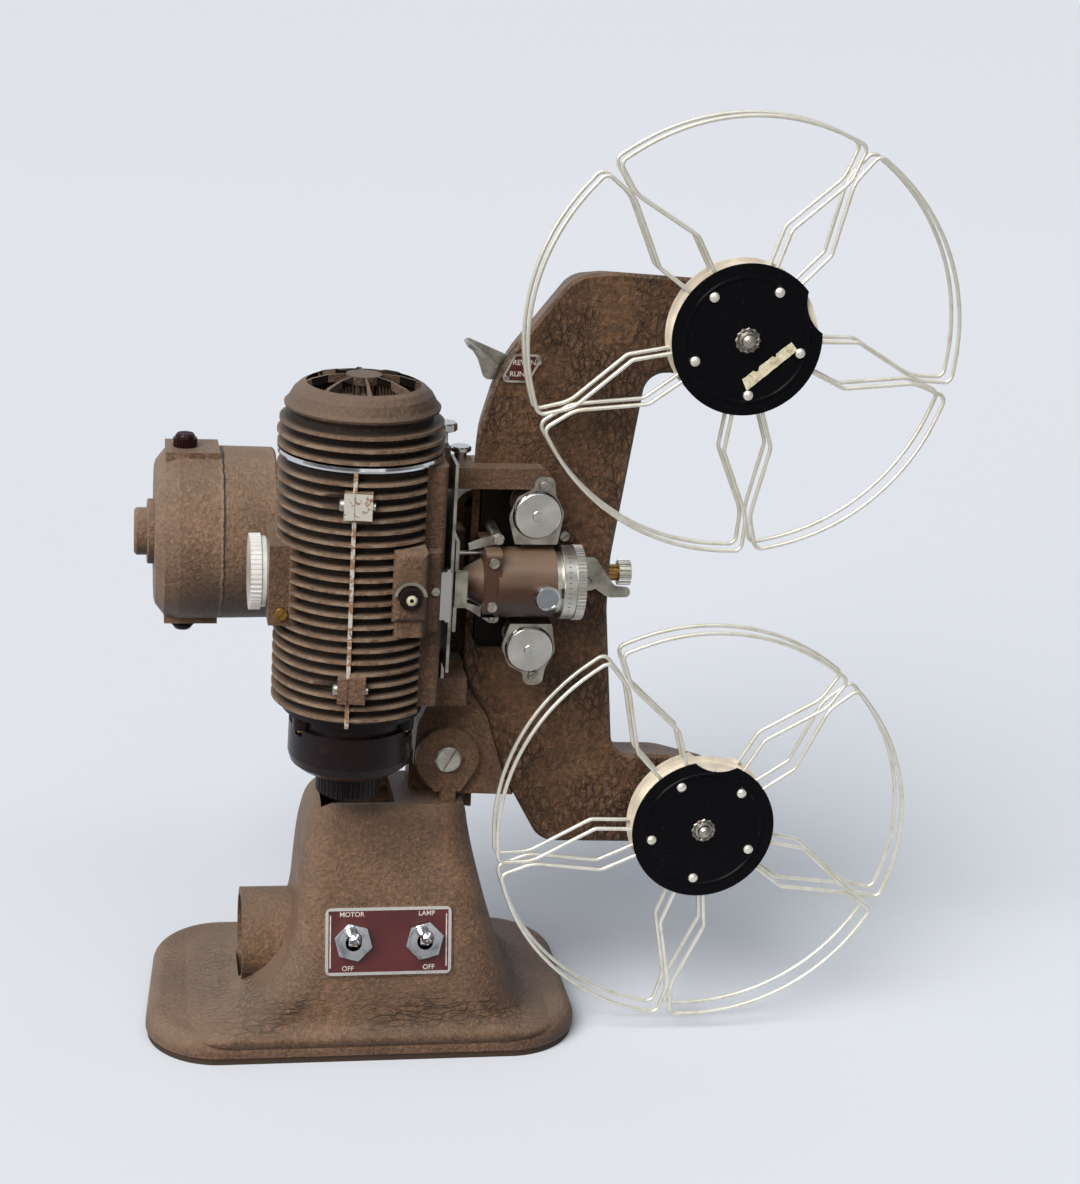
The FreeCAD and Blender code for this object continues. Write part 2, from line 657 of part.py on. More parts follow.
cap_bottom = shell_top + 2.0
dome_bottom = 276.0
vent_count = 8


def cap_skirt():
    """Finned ring of the cap, with the spigot that centres it in the lamp house."""
    base = place(lamp_x, film_y, 0)
    levels = [263.2 + fin_pitch * index for index in range(3)]
    outer = (33.0, 33.2, 32.4)
    body = tube(28.0, 25.2, dome_bottom - cap_bottom, place(lamp_x, film_y, cap_bottom), Z_AXIS)
    spigot = tube(25.2 + 0.5, 24.0, 5.0, place(lamp_x, film_y, cap_bottom - 4.0), Z_AXIS)
    pieces = [body, spigot]
    for level, radius in zip(levels, outer):
        pieces.append(turned([(26, level - 1.0), (28, level - 1.2), (radius, level - 0.6),
                              (radius, level + 0.6), (28, level + 1.2), (26, level + 1.0)], base,
                             Z_AXIS))
    return join(pieces)


def cap_dome():
    """Domed top of the cap, with its ring of vents."""
    base = place(lamp_x, film_y, 0)
    dome = turned([(24.0, dome_bottom), (28, dome_bottom), (30.6, 278.2), (30.8, 279.2), (29.4, 280.6),
                   (27.4, 284.2), (25.0, 286.4), (20.5, 288.6), (14.0, 290.3), (6.0, 291.0), (0, 291.0),
                   (0, 288.0), (14, 287.2), (20, 285.4), (24.0, 282.0)], base, Z_AXIS)
    cuts = []
    for index in range(vent_count):
        sector = vent_sector(7.0, 22.5, 360.0 / vent_count - 4.5, 280.0, 295.0)
        sector.rotate(base, Z_AXIS, 360.0 / vent_count * (index + 0.5) - 90)
        cuts.append(sector)
    return remove(dome, cuts)


def vent_sector(inner, outer, spread, z0, z1):
    half = math.radians(spread / 2)
    spot = lambda radius, angle: V(lamp_x + radius * math.cos(angle), film_y + radius * math.sin(angle), z0)
    edges = [Part.makeLine(spot(inner, -half), spot(outer, -half)),
             Part.Arc(spot(outer, -half), spot(outer, 0), spot(outer, half)).toShape(),
             Part.makeLine(spot(outer, half), spot(inner, half)),
             Part.Arc(spot(inner, half), spot(inner, 0), spot(inner, -half)).toShape()]
    return Part.Face(Part.Wire(edges)).extrude(V(0, 0, z1 - z0))


def cap_baffle():
    """Light baffle hung under the vents."""
    disc = rod(21.0, 0.8, place(lamp_x, film_y, 277.0), Z_AXIS)
    legs = [rod(1.2, 12.0, place(lamp_x + 5.0 * math.cos(math.radians(120 * k)),
                                 film_y + 5.0 * math.sin(math.radians(120 * k)), 277.4),
                Z_AXIS) for k in range(3)]
    return join([disc] + legs)


ring_z = 209.5
ring_bore_radius = 13.6


def reflector_ring():
    base = place(0, film_y, ring_z)
    body = turned([(10.5, -52.0), (14.6, -52.0), (14.6, -51.2), (14.6, -47.6), (14.2, -47.2), (14.2, -45.5),
                   (13.5, -45.2), (13.5, -37.0), (10.5, -37.0)], base, X_AXIS)
    knurl = toothed(15.3, 14.7, 48, 4.4, place(-52.0, film_y, ring_z), X_AXIS).cut(
        rod(12, 10, place(-55, film_y, ring_z), X_AXIS))
    end_wall = rod(10.6, 1.5, place(-52.0, film_y, ring_z), X_AXIS)
    return join([body, knurl, end_wall])


def reflector_mirror():
    radius = 44.0
    ball = Part.makeSphere(radius, place(-43.0 + radius, film_y, ring_z))
    inner = Part.makeSphere(radius - 1.2, place(-43.0 + radius, film_y, ring_z))
    return ball.cut(inner).common(rod(10.4, 6, place(-44.5, film_y, ring_z), X_AXIS))


def lamp_bulb():
    outer = turned([(0, 158.0), (11.5, 158.0), (11.5, 161.0), (12.5, 166.0), (12.5, 236.0),
                    (11.0, 241.5), (6.5, 245.5), (0, 247.0)], place(lamp_x, film_y, 0), Z_AXIS)
    inner = turned([(0, 159.0), (10.7, 159.0), (10.7, 161.0), (11.7, 166.2), (11.7, 235.6), (10.4, 240.8),
                    (6.1, 244.7), (0, 246.1)], place(lamp_x, film_y, 0), Z_AXIS)
    return outer.cut(inner)


def lamp_base():
    collar = turned([(0, 141.0), (3.0, 141.0), (3.0, 142.0), (9.5, 142.0), (9.5, 152.0), (14.5, 152.0),
                     (14.5, 153.5), (12.3, 153.5), (12.3, 158.0), (0, 158.0)], place(lamp_x, film_y, 0),
                    Z_AXIS)
    return collar


def lamp_filament():
    posts = [rod(0.6, 44.0, place(lamp_x, film_y + side * 4.0, 159.0), Z_AXIS) for side in (-1, 1)]
    bars = [rod(0.9, 7.0, place(lamp_x, film_y - 3.0 + 2 * step, lens_z - 3.0), Z_AXIS) for step in range(4)]
    yoke = [block(lamp_x - 0.6, lamp_x + 0.6, film_y - 4.6, film_y + 4.6, z,
                  z + 1.0) for z in (lens_z - 3.6, lens_z + 3.2)]
    return join(posts + bars + yoke)


def socket_flange():
    ring = tube(23.2, 12.6, 8.0, place(lamp_x, film_y, 146.6), Z_AXIS)
    rim = tube(root_radius, 12.6, 2.0, place(lamp_x, film_y, shell_bottom - 2.0), Z_AXIS)
    ring = join([ring, rim]).cut(rod(14.6, 20, place(lamp_x, film_y, 151.5), Z_AXIS))
    ears = []
    for turn in (-62, 62, 180):
        angle = math.radians(turn - 90)
        spot = place(lamp_x + 23.4 * math.cos(angle), film_y + 23.4 * math.sin(angle), 146.6)
        ears.append(rod(3.9, 5.0, spot, Z_AXIS))
    solid = join([ring] + ears)
    return remove(solid, [rod(12.6, 40, place(lamp_x, film_y, 130), Z_AXIS),
                          rod(14.6, 20, place(lamp_x, film_y, 151.5), Z_AXIS)])


def socket_screws():
    pieces = []
    for turn in (-62, 62, 180):
        angle = math.radians(turn - 90)
        spot = place(lamp_x + 23.4 * math.cos(angle), film_y + 23.4 * math.sin(angle), 146.6)
        pieces.append(slotted_head(2.1, 1.7, spot, V(0, 0, -1), 0.7, turn))
    return Part.makeCompound(pieces)


def socket_bowl():
    base = place(lamp_x, film_y, 0)
    bowl = turned([(9.6, 146.6), (25.2, 146.6), (25.4, 133.0), (24.4, 129.6), (21.5, 127.2),
                   (17.5, 126.0), (0, 126.0), (0, 139.0), (9.6, 139.0)], base, Z_AXIS)
    relief = []
    for turn in (-62, 62, 180):
        angle = math.radians(turn - 90)
        spot = place(lamp_x + 23.4 * math.cos(angle), film_y + 23.4 * math.sin(angle), 143.6)
        relief.append(rod(3.0, 5.0, spot, Z_AXIS))
    relief.append(rod(5.0 + running_gap, 8, place(lamp_x, film_y, 120), Z_AXIS))
    return remove(bowl, relief)


def socket_knob():
    knurl = toothed(13.5, 12.9, 40, 9.0, place(lamp_x, film_y, 115.6), Z_AXIS)
    neck = rod(5.0, 3.0, place(lamp_x, film_y, 124.6), Z_AXIS)
    return join([knurl, neck])


def socket_terminals():
    """Terminal block behind the bowl with its two lugs."""
    terminal = block(lamp_x - 20, lamp_x - 12, film_y + 16, film_y + 24, 126.5, 134.0)
    lug = block(lamp_x + 19, lamp_x + 27, film_y + 4, film_y + 10, 124.0, 131.0)
    arm = block(lamp_x + 14, lamp_x + 26, film_y + 5, film_y + 9, 128.0, 134.0)
    whole = join([terminal, arm, lug])
    bowl = turned([(0, 146.6), (25.2, 146.6), (25.4, 133.0), (24.4, 129.6), (21.5, 127.2),
                   (17.5, 126.0), (0, 126.0)], place(lamp_x, film_y, 0), Z_AXIS)
    return whole.cut(bowl)


# Motor

def motor_frame():
    body = turned([(31.8, motor_seam), (motor_radius, motor_seam), (motor_radius - 0.3, motor_right - 1.0),
                   (motor_radius - 1.3, motor_right), (9.0, motor_right), (9.0, motor_right - 3.5),
                   (31.8, motor_right - 3.5)], place(0, motor_y, motor_z), X_AXIS)
    hub = tube(9.2, shaft_radius + running_gap, 6.0, place(motor_right - 6.0, motor_y, motor_z), X_AXIS)
    vents = []
    for index in range(6):
        vent = rod(5.5, 6.0, place(motor_right - 4.5, motor_y, motor_z + 21.0), X_AXIS)
        vent.rotate(place(0, motor_y, motor_z), X_AXIS, 60 * index)
        vents.append(vent)
    return remove(join([body, hub]), vents)


boss_outer = 13.7
boss_inner = 10.0


def motor_end_bell():
    axis_base = place(0, motor_y, motor_z)
    body = turned([(31.8, motor_seam), (motor_radius, motor_seam), (motor_radius + 0.2, motor_left + 10.0),
                   (motor_radius - 1.6, motor_left + 4.0), (motor_radius - 6.0, motor_left + 0.6),
                   (motor_radius - 8.0, motor_left), (boss_outer, motor_left), (boss_outer, motor_left - 2.4),
                   (boss_outer - 0.5, motor_left - 2.9), (boss_inner, motor_left - 2.9),
                   (boss_inner, motor_left - 7.2), (boss_inner - 1.0, motor_left - 8.2),
                   (0, motor_left - 8.2), (0, motor_left - 4.0), (8.0, motor_left - 4.0),
                   (8.0, motor_left + 3.5),
                   (30.0, motor_left + 3.5), (31.8, motor_left + 7.0)], axis_base, X_AXIS)
    pads = []
    for side in (-1, 1):
        low = motor_z + side * 30.0
        high = motor_z + side * (motor_radius + 0.9)
        pads.append(block(motor_left + 4.4, motor_seam - 1.0, motor_y - 11, motor_y + 11,
                          min(low, high), max(low, high)))
    bearing = tube(8.5, shaft_radius + running_gap, 7.0, place(motor_left - 3.9, motor_y, motor_z), X_AXIS)
    inside = turned([(0, motor_left + 7.0), (31.7, motor_left + 7.0), (31.7, motor_seam),
                     (0, motor_seam)], axis_base, X_AXIS)
    brush_bore = rod(3.4, 100, place(brush_x, motor_y, motor_z - 50), Z_AXIS)
    cuts = [inside, brush_bore]
    return remove(join([body, bearing] + pads), cuts)


brush_x = -75.5


def brush_caps():
    pieces = []
    for side in (-1, 1):
        out = V(0, 0, side)
        base = place(brush_x, motor_y, motor_z + side * (motor_radius + 0.9))
        collar = toothed(5.0, 4.6, 24, 3.6, base, out)
        dome = turned([(0, 3.6), (4.3, 3.6), (4.1, 4.6), (3.3, 5.6), (0, 6.2)], base, out)
        stub = rod(3.4 - drill_gap, 6.5, base - out * 6.5, out)
        slot = Part.makeBox(7, 1.0, 1.4, V(-3.5, -0.5, -0.7))
        slot.translate(base + out * 6.0)
        pieces.append(join([collar, dome, stub]).cut(slot))
    return Part.makeCompound(pieces)


commutator_radius = 9.0


def brushes():
    pieces = []
    for side in (-1, 1):
        start = motor_z + side * (commutator_radius + 0.1)
        end = motor_z + side * (motor_radius + 0.9 - 6.5)
        low, high = min(start, end), max(start, end)
        pieces.append(block(brush_x - 2.3, brush_x + 2.3, motor_y - 2.3, motor_y + 2.3, low, high))
    return Part.makeCompound(pieces)


def brush_holders():
    pieces = []
    for side in (-1, 1):
        start = motor_z + side * (commutator_radius + 4.0)
        end = motor_z + side * (motor_radius + 0.9 - 6.5)
        low, high = min(start, end), max(start, end)
        guide = block(brush_x - 4.0, brush_x + 4.0, motor_y - 4.0, motor_y + 4.0, low, high)
        bore = block(brush_x - 2.35, brush_x + 2.35, motor_y - 2.35, motor_y + 2.35, low - 1, high + 1)
        plate = block(brush_x - 4.0, brush_x + 4.0, motor_y - 9.0, motor_y + 9.0,
                      min(end, end - side * 2.0), max(end, end - side * 2.0))
        shell = rod(31.7, 20, place(brush_x - 10, motor_y, motor_z), X_AXIS)
        pieces.append(join([guide, plate]).cut(bore).common(shell))
    return Part.makeCompound(pieces)


core_left = -69.0
core_right = -49.0
armature_radius = 16.5


def field_core():
    ring = tube(31.7, 25.0, core_right - core_left, place(core_left, motor_y, motor_z), X_AXIS)
    poles = []
    for side in (-1, 1):
        poles.append(block(core_left, core_right, motor_y + (8 if side > 0 else -30),
                           motor_y + (30 if side > 0 else -8), motor_z - 10, motor_z + 10))
    bore = rod(armature_radius + 0.5, 40, place(core_left - 5, motor_y, motor_z), X_AXIS)
    shell = rod(31.7, core_right - core_left, place(core_left, motor_y, motor_z), X_AXIS)
    return join([ring] + poles).common(shell).cut(bore)


def field_coils():
    pieces = []
    for side in (-1, 1):
        middle = motor_y + side * 21.0
        outer = Part.makeBox(core_right - core_left + 4, 5.0, 28,
                             V(core_left - 2.0, middle - 2.5, motor_z - 14))
        inner = Part.makeBox(core_right - core_left + 0.02, 7.0, 20.02,
                             V(core_left - 0.01, middle - 3.5, motor_z - 10.01))
        coil = outer.cut(inner).cut(field_ring_room())
        pieces.append(coil)
    return Part.makeCompound(pieces)


def field_ring_room():
    return tube(31.7, 25.0, core_right - core_left, place(core_left, motor_y, motor_z), X_AXIS)


def armature():
    base = place(0, motor_y, motor_z)
    core = toothed(armature_radius, armature_radius - 3.5, 12, core_right - core_left,
                   place(core_left, motor_y, motor_z), X_AXIS, 0.3, 0.42)
    ends = [rod(13.0, 3.0, place(core_left - 3.0, motor_y, motor_z), X_AXIS),
            rod(13.0, 2.0, place(core_right, motor_y, motor_z), X_AXIS)]
    commutator = toothed(commutator_radius, commutator_radius - 0.5, 24, 8.0,
                         place(brush_x - 4.0, motor_y, motor_z), X_AXIS, 0.46, 0.45)
    return join([core] + ends + [commutator]).cut(rod(shaft_radius, 60, place(-90, motor_y, motor_z), X_AXIS))


def cooling_fan():
    hub = rod(6.0, 2.3, place(-46.7, motor_y, motor_z), X_AXIS)
    disc = rod(29.0, 1.0, place(-46.5, motor_y, motor_z), X_AXIS)
    pieces = [hub, disc]
    for index in range(8):
        blade = block(-45.6, -42.6, motor_y - 0.5, motor_y + 0.5, motor_z + 10, motor_z + 28.6)
        blade.rotate(place(0, motor_y, motor_z), X_AXIS, 45 * index + 10)
        pieces.append(blade)
    return join(pieces).cut(rod(shaft_radius, 20, place(-50, motor_y, motor_z), X_AXIS))


# Drive

worm_module = 1.3
wheel_teeth = 34


def main_shaft():
    """Motor shaft with the worm that turns the sprockets."""
    pitch = math.pi * worm_module
    turns = 7
    worm_x = sprocket_x - pitch * turns / 2
    shaft = rod(shaft_radius, case_right - 1.0 - (motor_left - 3.5),
                place(motor_left - 3.5, motor_y, motor_z), X_AXIS)
    core = worm_radius - worm_module
    crest = worm_radius + worm_module * 0.9
    root = rod(core, pitch * turns + 3, place(worm_x - 1.5, motor_y, motor_z), X_AXIS)
    helix = Part.makeHelix(pitch, pitch * turns, core - 0.3)
    profile = Part.makePolygon([V(core - 0.3, 0, -0.85), V(crest, 0, -0.4), V(crest, 0, 0.4),
                                V(core - 0.3, 0, 0.85), V(core - 0.3, 0, -0.85)])
    thread = Part.Wire(helix).makePipeShell([profile], True, True)
    thread.Placement = FreeCAD.Placement(place(worm_x, motor_y, motor_z), FreeCAD.Rotation(Z_AXIS, X_AXIS))
    return join([shaft, root, thread])


def gear(outer, root, count, width, base, axis, bore):
    wheel = toothed(outer, root, count, width, base, axis, 0.27, 0.12)
    return wheel.cut(rod(bore, width + 2, base - axis, axis))


gear_x = 84.9
gear_width = 3.5


def main_gear():
    radius = main_gear_teeth * gear_module / 2
    wheel = gear(radius + 0.8, radius - 1.25, main_gear_teeth, gear_width,
                 place(gear_x, motor_y, motor_z), X_AXIS, shaft_radius)
    wheel.rotate(place(0, motor_y, motor_z), X_AXIS, gear_line())
    return wheel


def gear_line():
    """Angle from straight up to the line that joins the two shafts, turning from +Z to -Y."""
    return math.degrees(math.atan2(motor_y - cam_shaft_y, cam_shaft_z - motor_z))


def cam_gear():
    radius = cam_gear_teeth * gear_module / 2
    wheel = gear(radius + 0.8, radius - 1.25, cam_gear_teeth, gear_width,
                 place(gear_x, cam_shaft_y, cam_shaft_z), X_AXIS, cam_shaft_radius)
    wheel.rotate(place(0, cam_shaft_y, cam_shaft_z), X_AXIS, gear_line() + 180 + 180.0 / cam_gear_teeth)
    return wheel


inching_left = 104.6


def cam_shaft():
    """Brass shaft that carries the shutter, the claw cam and the inching knob."""
    shaft = rod(cam_shaft_radius, inching_left + 4 - shutter_x + 3,
                place(shutter_x - 3, cam_shaft_y, cam_shaft_z), X_AXIS)
    collar = rod(3.5, inching_left - 97.6 - part_gap, place(97.6 + part_gap, cam_shaft_y, cam_shaft_z),
                 X_AXIS)
    cam = rod(5.5, claw_thickness, place(claw_x, cam_shaft_y + 1.6, cam_shaft_z), X_AXIS)
    return join([shaft, collar, cam])


def shutter_blade():
    base = place(shutter_x, cam_shaft_y, cam_shaft_z)
    disc = rod(shutter_radius, shutter_thickness, base, X_AXIS)
    window = Part.makeCylinder(40.0, 4, place(shutter_x - 1, cam_shaft_y, cam_shaft_z), X_AXIS, 62)
    cuts = []
    for turn in (20, 200):
        piece = window.copy()
        piece.rotate(base, X_AXIS, turn)
        cuts.append(piece.cut(rod(14.0, 8, place(shutter_x - 2, cam_shaft_y, cam_shaft_z), X_AXIS)))
    return remove(disc, cuts).cut(rod(cam_shaft_radius, 10, place(shutter_x - 5, cam_shaft_y,
                                                                  cam_shaft_z), X_AXIS))


def inching_knob():
    base = place(inching_left, cam_shaft_y, cam_shaft_z)
    knurl = toothed(5.4, 5.0, 32, 5.2, base, X_AXIS)
    return knurl.cut(rod(cam_shaft_radius, 4.0, base, X_AXIS))


end_disc_back = -38.3
sprocket_waist = 6.4


def end_disc(z):
    """Polished disc on the front end of a sprocket."""
    profile = [(0, -40.2), (2.0, -40.2), (2.3, -39.9), (2.3, -39.5), (9.0, -39.5), (9.4, -39.1),
               (9.4, end_disc_back), (0, end_disc_back)]
    return turned(profile, place(sprocket_x, 0, z), Y_AXIS)


def sprocket(z, back_end):
    """Sprocket on the shaft that reaches back through the spine."""
    base = place(sprocket_x, 0, z)
    drum_end = spine_front - 1.5 - part_gap
    drum = turned([(0, end_disc_back), (sprocket_waist, end_disc_back), (sprocket_waist, -28.6),
                   (7.7, -28.4), (7.7, -27.2), (4.6, -27.0), (4.6, drum_end), (0, drum_end)],
                  base, Y_AXIS)
    teeth = toothed(8.2, 6.6, 12, 1.0, place(sprocket_x, -30.4, z), Y_AXIS, 0.16, 0.08)
    shaft = rod(shaft_radius, back_end + 30, place(sprocket_x, -30.0, z), Y_AXIS)
    return join([drum, teeth, shaft])


spur_front = -15.0
spur_width = 5.0


def spur_gear(z):
    return gear(sprocket_gear_radius + 1.1, sprocket_gear_radius - 1.7, 19, spur_width,
                place(sprocket_x, spur_front, z), Y_AXIS, shaft_radius)


idler_z = (upper_sprocket_z + lower_sprocket_z) / 2


def idler_gear():
    return gear(sprocket_gear_radius + 1.1, sprocket_gear_radius - 1.7, 19, spur_width,
                place(sprocket_x, spur_front, idler_z), Y_AXIS, 2.5 + running_gap)


def idler_stud():
    floor = film_y + trough_radius + 1.7
    stud = rod(2.5, spur_front + spur_width + 0.5 - floor, place(sprocket_x, floor, idler_z), Y_AXIS)
    cap = rod(4.0, 0.8, place(sprocket_x, spur_front + spur_width + 0.15, idler_z), Y_AXIS)
    foot = rod(4.5, spur_front - 0.15 - floor, place(sprocket_x, floor, idler_z), Y_AXIS)
    return join([stud, cap, foot])


def worm_wheel():
    radius = wheel_teeth * worm_module / 2
    base = place(sprocket_x, motor_y - 2.5, lower_sprocket_z)
    wheel = toothed(radius + 0.7, radius - 1.6, wheel_teeth, 5.0, base, Y_AXIS, 0.18, 0.06)
    wheel = wheel.cut(rod(shaft_radius, 5.0, base, Y_AXIS))
    holes = []
    for index in range(5):
        hole = rod(5.0, 9, place(sprocket_x, motor_y - 4, lower_sprocket_z + 14), Y_AXIS)
        hole.rotate(place(sprocket_x, 0, lower_sprocket_z), Y_AXIS, 72 * index)
        holes.append(hole)
    return remove(wheel, holes)


# Film guides and gate

guard_pin_x = 64.8
guard_pin_z = 247.4


def film_guard(z, side):
    """Film shoe carried by a frame round the sprocket; side +1 hangs from above, -1 stands below."""
    shoe_drop = 12.4 if side > 0 else 10.6

    def spot(x, height, radius):
        return (x, z + side * height, radius)
    corners = [spot(61.0, 15.9, 3.2), spot(68.6, 15.9, 3.2), spot(69.6, 8.4, 3), spot(73.4, 1.0, 4),
               spot(71.4, -shoe_drop, 1.0), spot(54.0, -shoe_drop, 1.0), spot(50.9, -1.0, 5), spot(54.4,
                                                                                                   7.6,
                                                                                                   3),
               spot(60.4, 10.6, 3)]
    frame = front_plate(corners, -37.6, -36.6)
    opening = rod(10.0, 6, place(sprocket_x, -40, z), Y_AXIS)
    shoe_edge = z - side * shoe_drop
    shoe = block(54.2, 71.2, -37.6, -27.4, min(shoe_edge, shoe_edge + side * 1.2),
                 max(shoe_edge, shoe_edge + side * 1.2))
    pin_z = z + side * (guard_pin_z - upper_sprocket_z)
    hole = rod(1.5 + running_gap, 20, place(guard_pin_x, -45, pin_z), Y_AXIS)
    return join([remove(frame, [opening, hole]), shoe])


def guard_studs():
    """Shoulder screws that the two film shoes hinge on."""
    pieces = []
    upper = place(guard_pin_x, -37.75, guard_pin_z)
    lower = place(guard_pin_x, -37.75, lower_sprocket_z - (guard_pin_z - upper_sprocket_z))
    for base, back in ((upper, bar_front + 5.0), (lower, spine_front)):
        head = slotted_head(2.3, 1.4, base, V(0, -1, 0), 0.7, 40)
        shank = rod(1.5, back - base.y, base, Y_AXIS)
        sleeve_front = -36.45
        sleeve_back = bar_front if base is upper else spine_front
        sleeve = rod(2.8, sleeve_back - sleeve_front, place(base.x, sleeve_front, base.z), Y_AXIS)
        pieces.append(join([head, shank, sleeve]))
    return Part.makeCompound(pieces)


strip_front = -46.0


def aperture_plate():
    plate = join([block(gate_x, gate_x + gate_thickness, strip_front, bar_front, 171.0, 258.0),
                  block(gate_x, gate_x + gate_thickness, -34.0, -22.0, 164.0, 242.8)])
    aperture = block(gate_x - 1, gate_x + 3, film_y - 2.4, film_y + 2.4, lens_z - 1.8, lens_z + 1.8)
    slot = block(gate_x - 1, gate_x + 3, film_y + 3.6, film_y + 4.8, lens_z - 9.0, lens_z + 2.0)
    return remove(plate, [aperture, slot])


plate_left = gate_x + gate_thickness + 0.8
plate_thick = 1.4


def pressure_plate():
    """Spring-loaded plate that holds the film flat, riding on two pins."""
    plate = block(plate_left, plate_left + plate_thick, -44.5, -24.0, 188.0, 226.0)
    window = block(plate_left - 1, plate_left + 4, film_y - 3.6, film_y + 3.6, lens_z - 3.0, lens_z + 3.0)
    pins = [rod(1.0, 13.4, place(plate_left + plate_thick - 0.5, pin_y, lens_z + side * pin_offset), X_AXIS)
            for side in (-1, 1)]
    tab = block(plate_left, plate_left + 5.0, -47.0, -44.4, 199.0, 214.0)
    return join([plate.cut(window)] + pins + [tab])


flange_left = 41.5
flange_right = 48.0
mount_radius = 14.4
mount_bottom = 195.2
mount_top = 221.8
barrel_end = 71.0
screw_levels = (217.6, 199.2)
pin_offset = 9.5
pin_y = film_y + 8.0


def lens_mount():
    """Smooth brown casting: arm from the spine, barrel for the lens and the cone to the gate."""
    arm = block(flange_left, flange_right, -46.0, spine_front + spine_wall, mount_bottom, mount_top)
    front_edges = [edge for edge in arm.Edges
                   if edge.BoundBox.XLength > 6 and edge.BoundBox.YMax < -45.9]
    arm = arm.makeFillet(2.5, front_edges)
    barrel = rod(mount_radius, barrel_end - flange_right + 1, place(flange_right - 1, film_y, lens_z), X_AXIS)
    foot = block(64.5, barrel_end - 1, film_y + 8.0, -10, lens_z - 8, lens_z + 8)
    foot = foot.common(rod(trough_radius, 40, place(50, film_y, lens_z), X_AXIS))
    cone = turned([(0, 34.0), (5.4, 34.0), (12.4, 46.0), (0, 46.0)], place(0, film_y, lens_z), X_AXIS)
    solid = join([arm, barrel, foot, cone])
    bore = rod(12.5 + running_gap, 40, place(45.0, film_y, lens_z), X_AXIS)
    light = turned([(0, 33.0), (4.2, 33.0), (10.6, 45.2), (0, 45.2)], place(0, film_y, lens_z), X_AXIS)
    pin_holes = [rod(1.0 + running_gap, 20, place(35, pin_y, lens_z + side * pin_offset),
                     X_AXIS) for side in (-1, 1)]
    pinion_hole = rod(2.0 + running_gap, 10, place(focus_x, film_y - 20, focus_z), Y_AXIS)
    screw_holes = [rod(1.2 + drill_gap, 6, place(44.6, -47, z), Y_AXIS) for z in screw_levels]
    return remove(solid, [bore, light, pinion_hole] + pin_holes + screw_holes)


focus_x = 66.2
focus_z = 204.6


def mount_screws():
    pieces = []
    for x, y, z, turn in ((44.6, -46.0, screw_levels[0], 20), (44.6, -46.0, screw_levels[1], 70),
                          (boss_x, spine_front - 3.0, boss_z, 35)):
        head = slotted_head(2.2, 1.4, place(x, y, z), V(0, -1, 0), 0.7, turn)
        if x < 50:
            head = join([head, rod(1.2, 1.7, place(x, y, z), Y_AXIS)])
        pieces.append(head)
    return Part.makeCompound(pieces)


ring_left = 73.7


def lens_tube():
    """Sliding lens barrel with its band and knurled front ring."""
    base = place(0, film_y, lens_z)
    body = turned([(10.4, 48.0), (12.5, 48.0), (12.5, ring_left), (14.8, ring_left), (15.1, ring_left + 0.4),
                   (15.1, 78.6), (14.4, 78.8), (14.4, 79.2), (10.4, 79.2)], base, X_AXIS)
    knurl = toothed(15.4, 14.9, 60, 3.6, place(79.2, film_y, lens_z), X_AXIS).cut(
        rod(11.2, 10, place(76, film_y, lens_z), X_AXIS))
    groove = block(56.0, 76.0, film_y - 14, film_y - 10.9, focus_z - 2.1, focus_z + 2.1)
    return join([body.cut(groove), knurl])


def lens_disc(x, half_bulge, radius):
    """Biconvex glass of the given rim radius, centred on x."""
    sphere = (radius * radius + half_bulge * half_bulge) / (2 * half_bulge)
    left = Part.makeSphere(sphere, place(x - half_bulge + sphere - 0.6, film_y, lens_z))
    right = Part.makeSphere(sphere, place(x + half_bulge - sphere + 0.6, film_y, lens_z))
    return left.common(right).common(rod(radius, 20, place(x - 10, film_y, lens_z), X_AXIS))


def lens_glasses():
    return Part.makeCompound([lens_disc(77.0, 2.2, 10.4), lens_disc(52.0, 1.8, 10.4)])


def focus_knob():
    base = place(focus_x, film_y - mount_radius - 0.3, focus_z)
    out = V(0, -1, 0)
    knob = turned([(0, 0), (4.9, 0), (5.1, 0.6), (5.1, 4.0), (4.6, 4.6), (4.1, 4.6), (3.9, 4.2),
                   (0, 4.2)], base, out)
    pinion = rod(2.0, 3.2, base, Y_AXIS)
    return join([knob, pinion])


def gate_arms():
    """Two small arms on posts that carry the film edge springs."""
    pieces = []
    upper = front_plate([(35.0, 223.2, 0), (46.6, 227.9, 1.6), (49.6, 226.4, 1.6), (49.0, 222.9, 1.6),
                         (45.0, 222.9, 1.0), (35.4, 220.6, 0)], -38.6, -37.4)
    lower = front_plate([(35.4, 198.4, 0), (46.4, 194.9, 1.2), (49.2, 193.6, 1.2), (48.8, 190.2, 1.6),
                         (45.6, 189.6, 1.6), (35.0, 196.2, 0)], -38.6, -37.4)
    for plate, x, z, turn in ((upper, 46.8, 225.2, 40), (lower, 46.8, 192.0, 75)):
        front = -37.4
        back = spine_front + spine_wall
        head = slotted_head(2.1, 1.3, place(x, -38.6, z), V(0, -1, 0), 0.6, turn)
        post = rod(2.3, back - front, place(x, front, z), Y_AXIS)
        pieces.append(join([plate, head, post]))
    mount = join([block(flange_left - part_gap, flange_right + part_gap, -46.3, 0,
                        mount_bottom - part_gap, mount_top + part_gap), rod(mount_radius + 0.3, 40,
                                                                            place(flange_left, film_y,
                                                                                  lens_z), X_AXIS),
                  turned([(0, 33.0), (5.3, 33.0), (12.9, 46.0), (0, 46.0)], place(0, film_y, lens_z),
                         X_AXIS)])
    return Part.makeCompound([piece.cut(mount) for piece in pieces])


